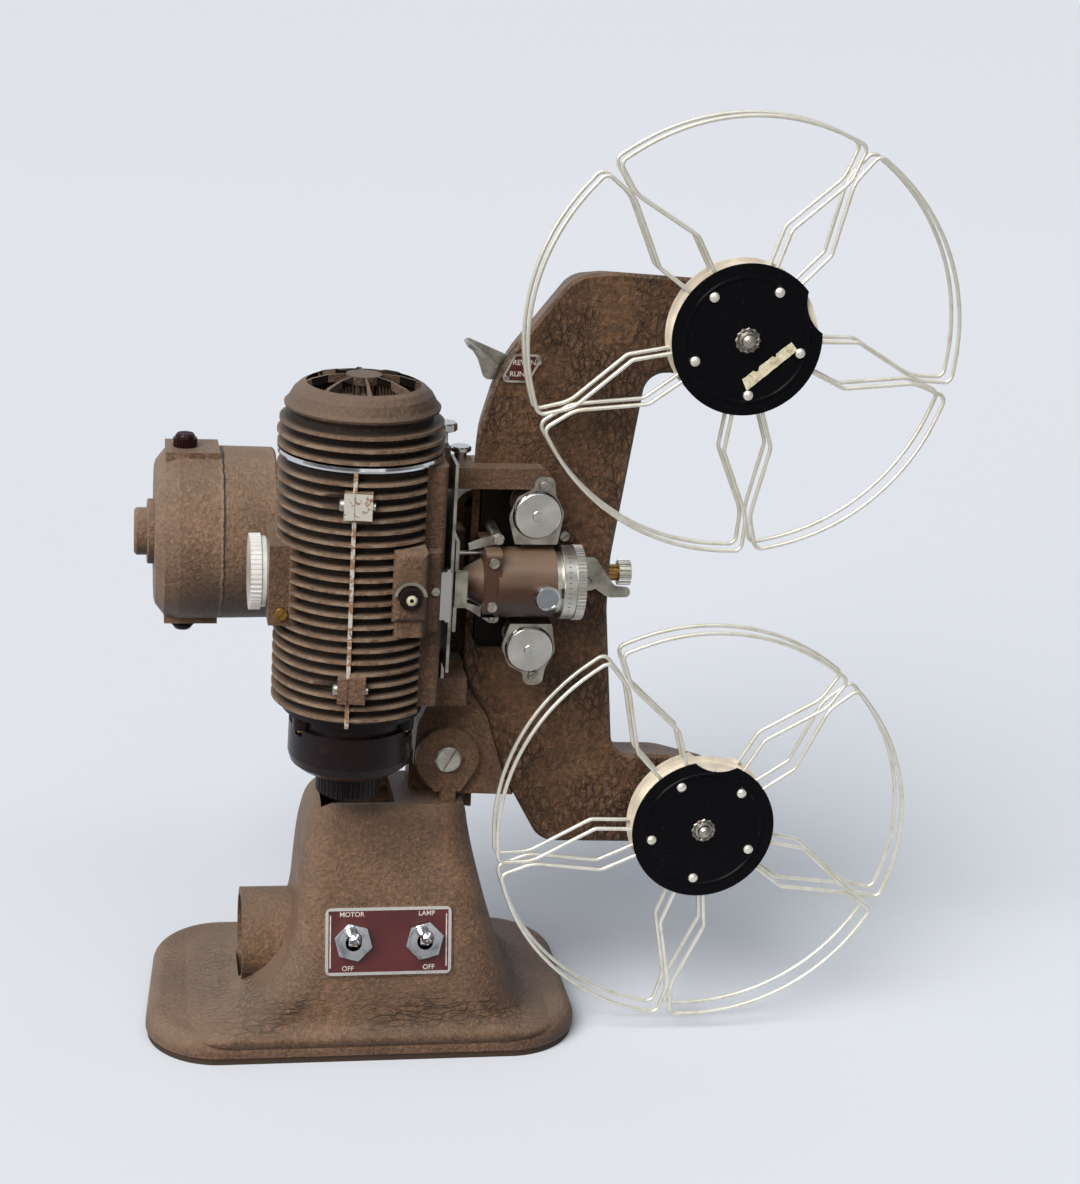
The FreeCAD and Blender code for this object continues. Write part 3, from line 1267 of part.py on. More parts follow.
def gate_latch():
    """Chromed latch bracket on the wall beside the gate."""
    strap = block(wall_right, gate_x - 0.2, -52.0, -47.0, 198.0, 215.0)
    hook = block(wall_right - 1.6, wall_right + 2.6, -53.2, -50.0, 196.0, 216.0)
    pin = rod(1.3, 22.0, place(wall_right + 1.3, -51.6, 195.0), Z_AXIS)
    return join([strap, hook, pin])


def claw_arm():
    """Claw that steps the film down one frame, riding on the cam."""
    end = claw_x + claw_thickness
    arm = block(claw_x, end, film_y + 3.7, cam_shaft_y + 2.0, cam_shaft_z - 10.0, cam_shaft_z + 10.0)
    arm = arm.cut(block(claw_x - 1, end + 1, film_y, cam_shaft_y - 13.0, cam_shaft_z + 3.0, cam_shaft_z + 20))
    arm = arm.cut(block(claw_x - 1, end + 1, film_y, cam_shaft_y - 13.0, cam_shaft_z - 20, cam_shaft_z - 3.0))
    fork = block(claw_x - 1, end + 1, cam_shaft_y - 8.0, cam_shaft_y + 3.0, cam_shaft_z - 7.5,
                 cam_shaft_z + 7.5)
    tooth = block(claw_x, gate_x + gate_thickness + 0.6, film_y + 3.8, film_y + 4.6, lens_z - 5.4,
                  lens_z - 4.4)
    return join([arm.cut(fork), tooth])


# Condenser, knobs and levers

knob_x = 8.9
knob_z = 210.0


def condenser_lens():
    centre = 15.0
    body = turned([(0, centre - 2.5), (9.9, centre - 1.2), (9.9, centre + 1.2), (0, centre + 3.6)],
                  place(0, film_y, lens_z), X_AXIS)
    return body


def condenser_knob():
    base = place(knob_x, film_y - 33.5 - 0.2, knob_z)
    out = V(0, -1, 0)
    knob = turned([(0, 0), (4.7, 0), (4.7, 2.4), (4.0, 3.4), (2.2, 3.6), (2.0, 3.0), (0, 3.0)], base, out)
    shaft = rod(3.0, 7.5, base, Y_AXIS)
    return join([knob, shaft])


def condenser_knob_dot():
    base = place(knob_x, film_y - 33.5 - 3.2, knob_z)
    return turned([(0, 0), (1.9, 0), (1.7, 0.8), (0, 1.2)], base, V(0, -1, 0))


def knob_crescent():
    """Bright guard plate above the condenser knob."""
    base = place(knob_x, film_y - 33.5 - 1.0, knob_z)
    arc = tube(6.6, 5.2, 1.0, base, Y_AXIS)
    return arc.common(block(knob_x - 10, knob_x + 10, -80, -50, knob_z + 0.5, knob_z + 10))


def wall_screws():
    """Large screws in the castings beside the lamp house."""
    pieces = [slotted_head(1.8, 1.2, place(20.0, boss_step, 209.2), V(0, -1, 0), 0.7, 15)]
    side = place(lamp_x - 31.0, film_y - 17.0, ring_z - 12.0)
    pieces.append(slotted_head(2.7, 1.6, side, V(0, -1, 0), 0.8, 50))
    return Part.makeCompound(pieces)


# The two thumb knobs on top of the bracket: x, y and the height they stand on
lamp_clamp_x = 26.6
framing_x = 33.4
top_knobs = ((lamp_clamp_x, -15.5, knob_seat_z), (framing_x, -14.8, bar_top))


def thumb_knob(x, y, base_z, stem_radius, stem, head_radius, head):
    base = place(x, y, base_z + 0.1)
    column = rod(stem_radius, stem, base, Z_AXIS)
    cap = turned([(0, stem), (head_radius - 0.5, stem), (head_radius, stem + 0.5),
                  (head_radius, stem + head - 0.5), (head_radius - 0.6, stem + head), (0, stem + head)],
                 base, Z_AXIS)
    pin = rod(1.0, 4.0, base - V(0, 0, 4.0), Z_AXIS)
    return join([column, cap, pin])


def rewind_plate():
    corners = [(52.1, 297.5, 2.2), (64.4, 297.4, 2.2), (58.3, 285.7, 2.2), (46.6, 285.9, 2.2)]
    plate = front_plate(corners, spine_front - 0.9, spine_front)
    field = front_plate(offset_corners(corners, 0.9), spine_front - 1.0, spine_front - 0.6)
    return plate.cut(field)


def rewind_plate_screws():
    return Part.makeCompound([slotted_head(1.1, 0.9, place(x, spine_front - 0.9, z), V(0, -1, 0), 0.35, 30)
                              for x, z in ((61.6, 295.7), (49.4, 287.7))])


lever_pivot_x = 55.0
lever_pivot_z = 289.0


def rewind_lever():
    """Bent sheet lever that comes out through the left edge of the spine."""
    web = front_plate([(33.0, 301.6, 0.6), (34.8, 301.8, 0.6), (54.5, 293.6, 3.0), (58.6, 287.0, 3.0),
                       (52.0, 285.0, 2.0), (42.6, 285.2, 0.6), (41.0, 286.4, 0.6), (38.4, 293.6, 1.0)],
                      -14.8, -13.6)
    rim = front_plate([(32.6, 300.6, 0), (33.6, 301.8, 0), (45.2, 293.4, 0), (44.4, 292.2, 0)], -25.0, -13.6)
    hub = rod(4.0, 3.4, place(lever_pivot_x, -17.2, lever_pivot_z), Y_AXIS)
    hole = rod(1.5 + running_gap, 20, place(lever_pivot_x, -25, lever_pivot_z), Y_AXIS)
    return join([web, rim, hub]).cut(hole)


def rewind_stud():
    return join([rod(1.5, 5.2, place(lever_pivot_x, spine_front + spine_wall, lever_pivot_z), Y_AXIS),
                 rod(2.6, 0.8, place(lever_pivot_x, -13.6 + 0.15, lever_pivot_z), Y_AXIS)])


clutch_x = 87.4
clutch_z = 201.8
clutch_front = spine_front - 2.0


def clutch_lever():
    """Flat lever beside the lens with a finger piece past the edge of the spine."""
    hub = front_plate([(84.5, 198.5, 2.5), (84.5, 213.0, 1.5), (92.6, 213.0, 4.0), (92.6, 198.5, 3.5)],
                      clutch_front, spine_front - 0.2)
    arm = front_plate([(90.5, 212.0, 1), (93.0, 209.6, 1), (99.8, 200.2, 3), (106.4, 199.6, 1.9),
                       (106.4, 195.6, 1.9), (97.0, 195.4, 5), (90.5, 200.0, 1)], clutch_front,
                      clutch_front + 1.2)
    hole = rod(1.6 + running_gap, 10, place(clutch_x, clutch_front - 3, clutch_z), Y_AXIS)
    return join([hub, arm]).cut(hole)


def clutch_stud():
    base = place(clutch_x, clutch_front - part_gap, clutch_z)
    return join([rod(1.6, 2.0 + part_gap, base, Y_AXIS), turned([(0, 0), (2.6, 0), (2.2, 0.8), (0,
                                                                                                1.2)],
                                                                base, V(0, -1, 0))])


# Reels

def spindle(z):
    base = place(spindle_x, 0, z)
    profile = [(0, -44.3), (1.6, -43.9), (2.6, -42.9), (3.0, -41.6), (2.6, -40.7), (3.6, -40.3), (4.0, -39.9),
               (spindle_radius, 5.0), (0, 5.0)]
    shaft = turned(profile, base, Y_AXIS)
    shoulder = rod(6.0, 4.2, place(spindle_x, -26.2, z), Y_AXIS)
    clutch = rod(8.6, 4.0, place(spindle_x, 1.4, z), Y_AXIS)
    return join([shaft, shoulder, clutch])


def reel_spot(z, radius, degrees, y):
    """Point on a reel; the angle runs clockwise from straight up as seen from the front."""
    angle = math.radians(degrees)
    return V(spindle_x + radius * math.sin(angle), y, z + radius * math.cos(angle))


petal_half = 180.0 / petal_count
# One side of a petal: radius, angle from the middle of the petal and bend of each corner
petal_corners = [(28.6, 24.4, 1.5), (46.6, 23.9, 4.0), (74.0, 35.48, 14.0), (88.49, 34.0, 3.2)]
rim_half = 28.5
wire_end_gap = 0.6


def bend_stop(before, here, after, bend):
    """Start, middle and end of the arc that rounds one corner."""
    first = before - here
    second = after - here
    limit = 0.45 * min(first.Length, second.Length)
    first.normalize()
    second.normalize()
    half = first.getAngle(second) / 2
    reach = min(bend / math.tan(half), limit)
    radius = reach * math.tan(half)
    middle = first + second
    middle.normalize()
    return here + first * reach, here + middle * (radius / math.sin(half) - radius), here + second * reach


def bent_line(spots):
    """Straight lines through a row of points, each point rounded to its own bend."""
    edges = []
    previous = spots[0][0]
    for index in range(1, len(spots) - 1):
        start, peak, end = bend_stop(spots[index - 1][0], spots[index][0], spots[index + 1][0],
                                     spots[index][1])
        edges.append(Part.makeLine(previous, start))
        edges.append(Part.Arc(start, peak, end).toShape())
        previous = end
    edges.append(Part.makeLine(previous, spots[-1][0]))
    return edges


def petal_spot(radius, degrees):
    """Point of the petal that stands straight up from the origin."""
    angle = math.radians(degrees)
    return V(radius * math.sin(angle), 0, radius * math.cos(angle))


def petal_wire():
    """One wire petal standing straight up from the origin; its two ends meet behind the hub plate."""
    foot_radius, foot_degrees, foot_bend = petal_corners[0]
    foot = foot_radius * math.cos(math.radians(foot_degrees))
    rim = reel_radius - wire_radius
    left = [(V(-wire_end_gap / 2, 0, foot), 0)]
    left += [(petal_spot(radius, -degrees), bend) for radius, degrees, bend in petal_corners]
    left.append((petal_spot(rim, -rim_half), 0))
    right = [(petal_spot(rim, rim_half), 0)]
    right += [(petal_spot(radius, degrees), bend) for radius, degrees, bend in reversed(petal_corners)]
    right.append((V(wire_end_gap / 2, 0, foot), 0))
    top = Part.Arc(left[-1][0], petal_spot(rim, 0), right[0][0]).toShape()
    edges = bent_line(left) + [top] + bent_line(right)
    ring = Part.Wire(Part.makeCircle(wire_radius, left[0][0], X_AXIS))
    return Part.Wire(edges).makePipeShell([ring], True, True)


def reel_wires(z, turn):
    """Five petals on each side of the reel."""
    petal = petal_wire()
    pieces = []
    for y in (near_flange_y, far_flange_y):
        for index in range(petal_count):
            piece = petal.copy()
            piece.rotate(place(0, 0, 0), Y_AXIS, turn + petal_half * (2 * index + 1))
            piece.translate(place(spindle_x, y, z))
            pieces.append(piece)
    return pieces


plate_sheet = 0.6


def reel_plates(z, turn):
    """Stamped black discs, with a bite for the film end and a pressed ring."""
    pieces = []
    for y, out in ((near_flange_y - wire_radius, -1), (far_flange_y + wire_radius, 1)):
        outward = V(0, out, 0)
        base = place(spindle_x, y, z)
        disc = turned([(0, 0), (hub_radius, 0), (hub_radius, plate_sheet), (26.2, plate_sheet),
                       (25.7, plate_sheet + 0.5), (24.9, plate_sheet + 0.5), (24.4, plate_sheet),
                       (0, plate_sheet)], base, outward)
        bite_centre = reel_spot(z, hub_radius + 12.0, turn + petal_half, y - 5)
        cuts = [rod(16.2, 10, bite_centre, Y_AXIS), rod(spindle_radius, 10, place(spindle_x, y - 5, z),
                                                        Y_AXIS)]
        for index in range(petal_count):
            cuts.append(rod(1.1, 10, reel_spot(z, 22.6, turn + 2 * petal_half * index, y - 5), Y_AXIS))
        pieces.append(remove(disc, cuts))
    return Part.makeCompound(pieces)


def reel_drum(z, turn):
    """Light drum between the discs, with the flanges that clamp the wires."""
    near = near_flange_y + wire_radius
    far = far_flange_y - wire_radius
    wall = tube(drum_radius, drum_radius - 0.8, far - near, place(spindle_x, near, z), Y_AXIS)
    rims = [tube(29.6, 20.0, 0.5, place(spindle_x, y, z), Y_AXIS) for y in (near, far - 0.5)]
    core = tube(7.0, spindle_radius, far - near + 4 * wire_radius,
                place(spindle_x, near - 2 * wire_radius, z), Y_AXIS)
    webs = [tube(20.2, 6.8, 0.5, place(spindle_x, y, z), Y_AXIS) for y in (near, far - 0.5)]
    slots = []
    for index in range(3):
        slot = block(spindle_x - 3.0, spindle_x + 3.0, near + 2.2, far - 2.2, z + drum_radius - 3,
                     z + drum_radius + 3)
        slot.rotate(place(spindle_x, 0, z), Y_AXIS, turn + petal_half - 16 + 16 * index)
        slots.append(slot)
    holes = [rod(1.1, 30, reel_spot(z, 22.6, turn + 2 * petal_half * index, -45),
                 Y_AXIS) for index in range(petal_count)]
    return remove(join([wall, core] + rims + webs), slots + holes)


def reel_rivets(z, turn):
    pieces = []
    front = near_flange_y - wire_radius - plate_sheet
    back = far_flange_y + wire_radius + plate_sheet
    for index in range(petal_count):
        spot = reel_spot(z, 22.6, turn + 2 * petal_half * index, front)
        shank = rod(1.1, back - front, spot, Y_AXIS)
        head = turned([(0, 0), (2.1, 0), (1.9, 0.6), (1.2, 1.1), (0, 1.3)], spot, V(0, -1, 0))
        tail = turned([(0, 0), (1.8, 0), (1.5, 0.5), (0, 0.8)], V(spot.x, back, spot.z), Y_AXIS)
        pieces.append(join([shank, head, tail]))
    return pieces


upper_turn = 30.4
lower_turn = -29.3


def build():
    os.makedirs("parts", exist_ok=True)
    group = Part.makeCompound
    save("base_casting", base_casting())
    save("base_board", base_board())
    save("nameplate", nameplate())
    save("switches", group([switch_nuts(), switch_body(-1), switch_body(1)]))
    save("motor_switch_lever", switch_lever(-1, -16))
    save("lamp_switch_lever", switch_lever(1, -16))
    save("power_inlet", group([power_inlet(), inlet_pins()]))
    save("pivot_bolt", group([pivot_disc(), pivot_bolt()]))
    save("spine_casting", spine_casting())
    save("spine_covers", group([spine_cover(), mechanism_plate()]))
    save("lamp_bracket", lamp_bracket())
    save("drive_housing", drive_housing())
    save("lamphouse_left_shell", shell_half(-1))
    save("lamphouse_right_shell", shell_half(1))
    save("trim_ring", trim_ring())
    dome = cap_dome()
    save("lamphouse_cap", group([cap_skirt(), dome, cap_baffle().cut(dome)]))
    save("reflector_ring", reflector_ring())
    save("reflector_mirror", reflector_mirror())
    save("lamp_bulb", lamp_bulb())
    save("lamp_base", group([lamp_base(), lamp_filament()]))
    save("socket_flange", socket_flange())
    save("socket_bowl", join([socket_bowl(), socket_terminals()]))
    save("socket_knob", socket_knob())
    save("motor_frame", motor_frame())
    save("motor_end_bell", motor_end_bell())
    save("brush_sets", group([brush_caps(), brushes(), brush_holders()]))
    save("motor_field", group([field_core(), field_coils()]))
    save("armature", group([armature(), cooling_fan()]))
    save("main_shaft", join([main_shaft(), main_gear()]))
    save("cam_shaft", join([cam_shaft(), cam_gear(), inching_knob()]))
    save("shutter_blade", shutter_blade())
    save("claw_arm", claw_arm())
    save("upper_sprocket", group([join([sprocket(upper_sprocket_z, 0.0), spur_gear(upper_sprocket_z)]),
                                  end_disc(upper_sprocket_z)]))
    save("lower_sprocket", group([join([sprocket(lower_sprocket_z, case_back - 0.9),
                                        spur_gear(lower_sprocket_z)]), worm_wheel(),
                                  end_disc(lower_sprocket_z)]))
    save("idler_gear", idler_gear())
    save("upper_film_guard", film_guard(upper_sprocket_z, 1))
    save("lower_film_guard", film_guard(lower_sprocket_z, -1))
    save("aperture_plate", aperture_plate())
    save("pressure_plate", pressure_plate())
    save("lens_mount", lens_mount())
    save("lens_tube", lens_tube())
    save("lens_glasses", lens_glasses())
    save("focus_knob", focus_knob())
    save("gate_arms", group([gate_arms(), gate_latch()]))
    save("condenser_lens", condenser_lens())
    save("condenser_knob", join([condenser_knob(), condenser_knob_dot()]))
    save("lamp_clamp_knob", thumb_knob(*top_knobs[0], 1.3, 6.0, 5.0, 3.4))
    save("framing_knob", thumb_knob(*top_knobs[1], 2.6, 3.2, 4.4, 2.2))
    save("rewind_plate", rewind_plate())
    save("rewind_lever", rewind_lever())
    save("clutch_lever", clutch_lever())
    save("head_screws", group([lamphouse_screws(), mount_screws(), wall_screws(), rewind_plate_screws(),
                               socket_screws(), guard_studs(), idler_stud(), rewind_stud(),
                               clutch_stud(), knob_crescent()]))
    for name, z, turn in (("upper", upper_z, upper_turn), ("lower", lower_z, lower_turn)):
        save(name + "_spindle", spindle(z))
        save(name + "_reel_wires", group(reel_wires(z, turn) + reel_rivets(z, turn)))
        save(name + "_reel_plates", reel_plates(z, turn))
        save(name + "_reel_drum", reel_drum(z, turn))


build()
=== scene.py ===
import math

import bmesh
import bpy
from mathutils import Matrix, Vector


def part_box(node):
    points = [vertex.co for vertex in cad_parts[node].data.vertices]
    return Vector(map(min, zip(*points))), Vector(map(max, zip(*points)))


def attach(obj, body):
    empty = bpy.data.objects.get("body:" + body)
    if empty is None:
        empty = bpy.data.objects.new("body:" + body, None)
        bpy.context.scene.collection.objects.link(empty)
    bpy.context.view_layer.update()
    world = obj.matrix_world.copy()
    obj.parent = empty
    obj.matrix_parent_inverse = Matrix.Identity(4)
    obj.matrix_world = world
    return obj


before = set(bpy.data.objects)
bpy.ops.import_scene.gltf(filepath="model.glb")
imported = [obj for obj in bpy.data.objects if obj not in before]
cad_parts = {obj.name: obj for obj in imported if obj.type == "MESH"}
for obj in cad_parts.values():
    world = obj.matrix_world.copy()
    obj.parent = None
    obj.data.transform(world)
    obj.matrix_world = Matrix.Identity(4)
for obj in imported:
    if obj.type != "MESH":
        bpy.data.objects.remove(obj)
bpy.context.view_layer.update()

bl_info = {
    "name": "Movie projector finish",
    "version": (1, 0, 0),
    "blender": (4, 5, 0),
    "location": "View3D > Sidebar > Projector",
    "description": "Finishes, legends and small trim for a table movie projector with wire reels",
    "category": "Object",
}

MM = 0.001
X, Y, Z = 0, 1, 2


# Sizes and colours a user may change

class PROJECTOR_PG_finish(bpy.types.PropertyGroup):
    """Colours of the finishes, written as sRGB hex values, and the sizes of their patterns."""
    hammertone: bpy.props.StringProperty(
        name="Hammertone brown", description="Enamel on the base and the lamp house", default="#87674f")
    hammertone_dark: bpy.props.StringProperty(
        name="Hammertone dark", description="Enamel on the spine", default="#78573d")
    motor_brown: bpy.props.StringProperty(
        name="Motor brown", description="Enamel on the motor, which has faded more", default="#9a7b63")
    fins: bpy.props.StringProperty(
        name="Fin brown", description="Enamel on the cooling fins and the cap", default="#876851")
    smooth_brown: bpy.props.StringProperty(
        name="Smooth brown", description="Enamel on the lens mount", default="#4b3122")
    bakelite: bpy.props.StringProperty(
        name="Bakelite", description="Moulded lamp socket and inlet", default="#1c1215")
    hub_black: bpy.props.StringProperty(
        name="Hub black", description="Gloss enamel on the reel hub discs", default="#0b0b0f")
    plate_maroon: bpy.props.StringProperty(
        name="Plate maroon", description="Field of the switch plate and the rewind plate", default="#521e20")
    wire: bpy.props.StringProperty(
        name="Reel wire", description="Nickel plate on the reel wires", default="#f1efe6")
    wrinkle: bpy.props.FloatProperty(
        name="Wrinkle", description="Width of one pillow of the wrinkle enamel",
        default=0.0022, unit="LENGTH")
    spine_wrinkle: bpy.props.FloatProperty(
        name="Spine wrinkle", description="Width of the wrinkles on the spine", default=0.0030, unit="LENGTH")
    fine_wrinkle: bpy.props.FloatProperty(
        name="Fine wrinkle", description="Width of the wrinkles on the fins and the cap",
        default=0.0019, unit="LENGTH")
    turning_pitch: bpy.props.FloatProperty(
        name="Turning mark", description="Distance between two lathe marks on turned metal",
        default=0.0007, unit="LENGTH")


class PROJECTOR_PG_trim(bpy.types.PropertyGroup):
    """Sizes of the legends and the small trim."""
    legend_height: bpy.props.FloatProperty(
        name="Legend height", description="Letter height on the switch plate", default=0.0020, unit="LENGTH")
    rewind_height: bpy.props.FloatProperty(
        name="Rewind legend height", description="Letter height on the rewind plate",
        default=0.0021, unit="LENGTH")
    ink_thickness: bpy.props.FloatProperty(
        name="Ink thickness", description="How far the letters stand above the field",
        default=0.0001, unit="LENGTH")
    tape_thickness: bpy.props.FloatProperty(
        name="Tape thickness", description="Of the worn tape left on the upper hub",
        default=0.00014, unit="LENGTH")
    star_teeth: bpy.props.IntProperty(
        name="Star teeth", description="Pressed teeth round the spindle hole", default=12, min=3)
    scale_marks: bpy.props.IntProperty(
        name="Scale marks", description="Lines round the lens band", default=44, min=4)


class PROJECTOR_PG_stage(bpy.types.PropertyGroup):
    """Camera, floor and light."""
    camera_place: bpy.props.FloatVectorProperty(
        name="Camera", description="Place of the camera", default=(-0.10932, -0.94267, 0.50989),
        subtype="TRANSLATION")
    camera_yaw: bpy.props.FloatProperty(
        name="Yaw", description="Turn from +Y towards +X", default=0.19085, subtype="ANGLE")
    camera_pitch: bpy.props.FloatProperty(
        name="Pitch", description="Tilt above the horizon", default=-0.32168, subtype="ANGLE")
    camera_roll: bpy.props.FloatProperty(
        name="Roll", description="Roll about the line of sight", default=0.06477, subtype="ANGLE")
    focal_length: bpy.props.FloatProperty(
        name="Focal length", description="In millimetres, for a 36 mm long side", default=72.787)
    paper: bpy.props.StringProperty(
        name="Floor", description="Pale paper on the floor", default="#dbe1eb")
    backdrop: bpy.props.StringProperty(
        name="Backdrop", description="Pale backdrop above the floor", default="#e1e5ea")
    floor_reach: bpy.props.FloatProperty(
        name="Floor reach", description="Half the width of the floor", default=60.0, unit="LENGTH")
    key: bpy.props.FloatProperty(
        name="Key light", description="Strength of the main soft light", default=3.25)
    key_from: bpy.props.FloatVectorProperty(
        name="Key side", description="Direction from which the main light comes",
        default=(-0.74, -0.80, 0.94))
    key_spread: bpy.props.FloatProperty(
        name="Key spread", description="Angle that the main light fills", default=math.radians(42),
        subtype="ANGLE")
    fill: bpy.props.FloatProperty(
        name="Fill light", description="Strength of the light from all round", default=0.27)


# Small helpers

def linear(code):
    """Linear colour of an sRGB hex value."""
    parts = [int(code[i:i + 2], 16) / 255 for i in (1, 3, 5)]
    return tuple(c / 12.92 if c <= 0.04045 else ((c + 0.055) / 1.055) ** 2.4 for c in parts) + (1.0,)


def shade(code, amount):
    """The same colour, lighter (above 1) or darker (below 1)."""
    parts = [min(255, round(int(code[i:i + 2], 16) * amount)) for i in (1, 3, 5)]
    return "#%02x%02x%02x" % tuple(parts)


def feed(node, inputs):
    """Sets inputs, given by name or in order, to plain values or links other nodes' outputs to them."""
    for key, value in inputs.items() if isinstance(inputs, dict) else enumerate(inputs):
        if isinstance(value, bpy.types.NodeSocket):
            node.id_data.links.new(value, node.inputs[key])
        else:
            node.inputs[key].default_value = value


def add(tree, kind, inputs=(), output=0, stops=(), **options):
    """Adds a node with its options, links and colour stops, and gives back one of its outputs."""
    made = tree.nodes.new(kind if "Node" in kind else "ShaderNode" + kind)
    for name, value in options.items():
        setattr(made, name, value)
    feed(made, inputs)
    for _ in stops[2:]:
        made.color_ramp.elements.new(0.5)
    for index, (position, code) in enumerate(stops):
        made.color_ramp.elements[index].position = position
        made.color_ramp.elements[index].color = linear(code)
    return made.outputs[output]


# What is the same each time a node of one kind is added
COLOURS = {"output": 2, "data_type": "RGBA"}     # mix of two colours
TIMES = {"operation": "MULTIPLY"}
SOFT = {"Detail": 3.0, "Roughness": 0.55}        # noise with soft lumps
RICH = {"Detail": 4.0, "Roughness": 0.55}        # noise with finer detail in its lumps
EVEN = {"Detail": 2.0, "Roughness": 0.55}        # noise with little detail


def blank(name):
    """A new material with only a shader and its output; gives back (material, tree, shader, place)."""
    material = bpy.data.materials.new(name)
    material.use_nodes = True
    tree = material.node_tree
    tree.nodes.clear()
    shader = tree.nodes.new("ShaderNodeBsdfPrincipled")
    feed(tree.nodes.new("ShaderNodeOutputMaterial"), {"Surface": shader.outputs[0]})
    return material, tree, shader, add(tree, "TexCoord", output="Object")


# Finishes

FADED_PATCH = 42 * MM       # width of a faded patch of the enamel
CREASED_PATCH = 28 * MM     # width of a patch with deep creases
FLOW_PATCH = 30 * MM        # width of a patch where the paint ran
FLOW_TOP = 34 * MM          # height up to which the paint ran on the base
FLOW_PITCH = 3.2 * MM       # distance between two level wrinkles
CHIP = 2.1 * MM             # width of a paint chip
GRIT = 1.7 * MM             # width of one grain, coarser than real sand so that it shows
# Pale tone for dust and painted sheen on faces towards the light, dark tone for painted shade on faces away
# from it
DUST_AND_SHEEN = "#a39180"
PAINTED_SHADE_TONE = "#26170d"
PRIMER = "#cbbda6"
ENAMEL_GLOSS = {"IOR": 1.5, "Specular IOR Level": 0.42}


def cells(tree, place, size):
    """Distance from the creases of a wandering network of cells about size metres across."""
    wander = add(tree, "TexNoise", {
        "Vector": place, "Scale": 0.7 / size, "Detail": 3.0, "Roughness": 0.6}, "Color")
    moved = add(tree, "VectorMath", (wander, (size * 1.6,) * 3, place), operation="MULTIPLY_ADD")
    return add(tree, "TexVoronoi", {"Vector": moved, "Scale": 1.0 / size}, "Distance",
               feature="DISTANCE_TO_EDGE")


def dust_sheen_and_shade(tree, colour, painted_light_tone, painted_shade_colour, painted_shade_strength=0.7):
    """Lays a pale tone, partly dust and partly painted sheen, on what faces up and to the left, and painted
    shade on undersides and right sides.
    """
    normal = add(tree, "TexCoord", output="Normal")
    facing = add(tree, "VectorMath", (normal, (-0.50, -0.30, 0.80)), "Value", operation="DOT_PRODUCT")
    # dust on upper faces together with a painted sheen on faces towards the light
    dust = add(tree, "MapRange", (facing, 0.35, 0.95, 0.0, 0.38))
    # painted shade on undersides and on faces turned away from the light
    painted_shade = add(tree, "MapRange", (facing, 0.42, -0.45, 0.0, painted_shade_strength))
    with_dust_and_painted_light = add(tree, "Mix", {0: dust, 6: colour, 7: linear(painted_light_tone)}, **COLOURS)
    return add(tree, "Mix", {0: painted_shade, 6: with_dust_and_painted_light, 7: linear(painted_shade_colour)}, **COLOURS)


def flow_creases(tree, place):
    """Long level wrinkles where the paint ran together, low on the base."""
    level = add(tree, "Mapping", {"Vector": place, "Scale": (0.38, 1.0, 1.25)})
    height = add(tree, "SeparateXYZ", (place,), "Z")
    below = add(tree, "MapRange", (height, FLOW_TOP, FLOW_TOP - 10 * MM))
    above = add(tree, "MapRange", (height, 11 * MM, 15 * MM))
    patchy = add(tree, "TexNoise", {"Vector": place, "Scale": 1 / FLOW_PATCH, **SOFT})
    patch = add(tree, "MapRange", (patchy, 0.40, 0.56))
    lines = add(tree, "MapRange", (cells(tree, level, FLOW_PITCH), 0.0, 0.20, 1.0, 0.0))
    low = add(tree, "Math", (below, above), **TIMES)
    return add(tree, "Math", (lines, add(tree, "Math", (low, patch), **TIMES)), **TIMES)


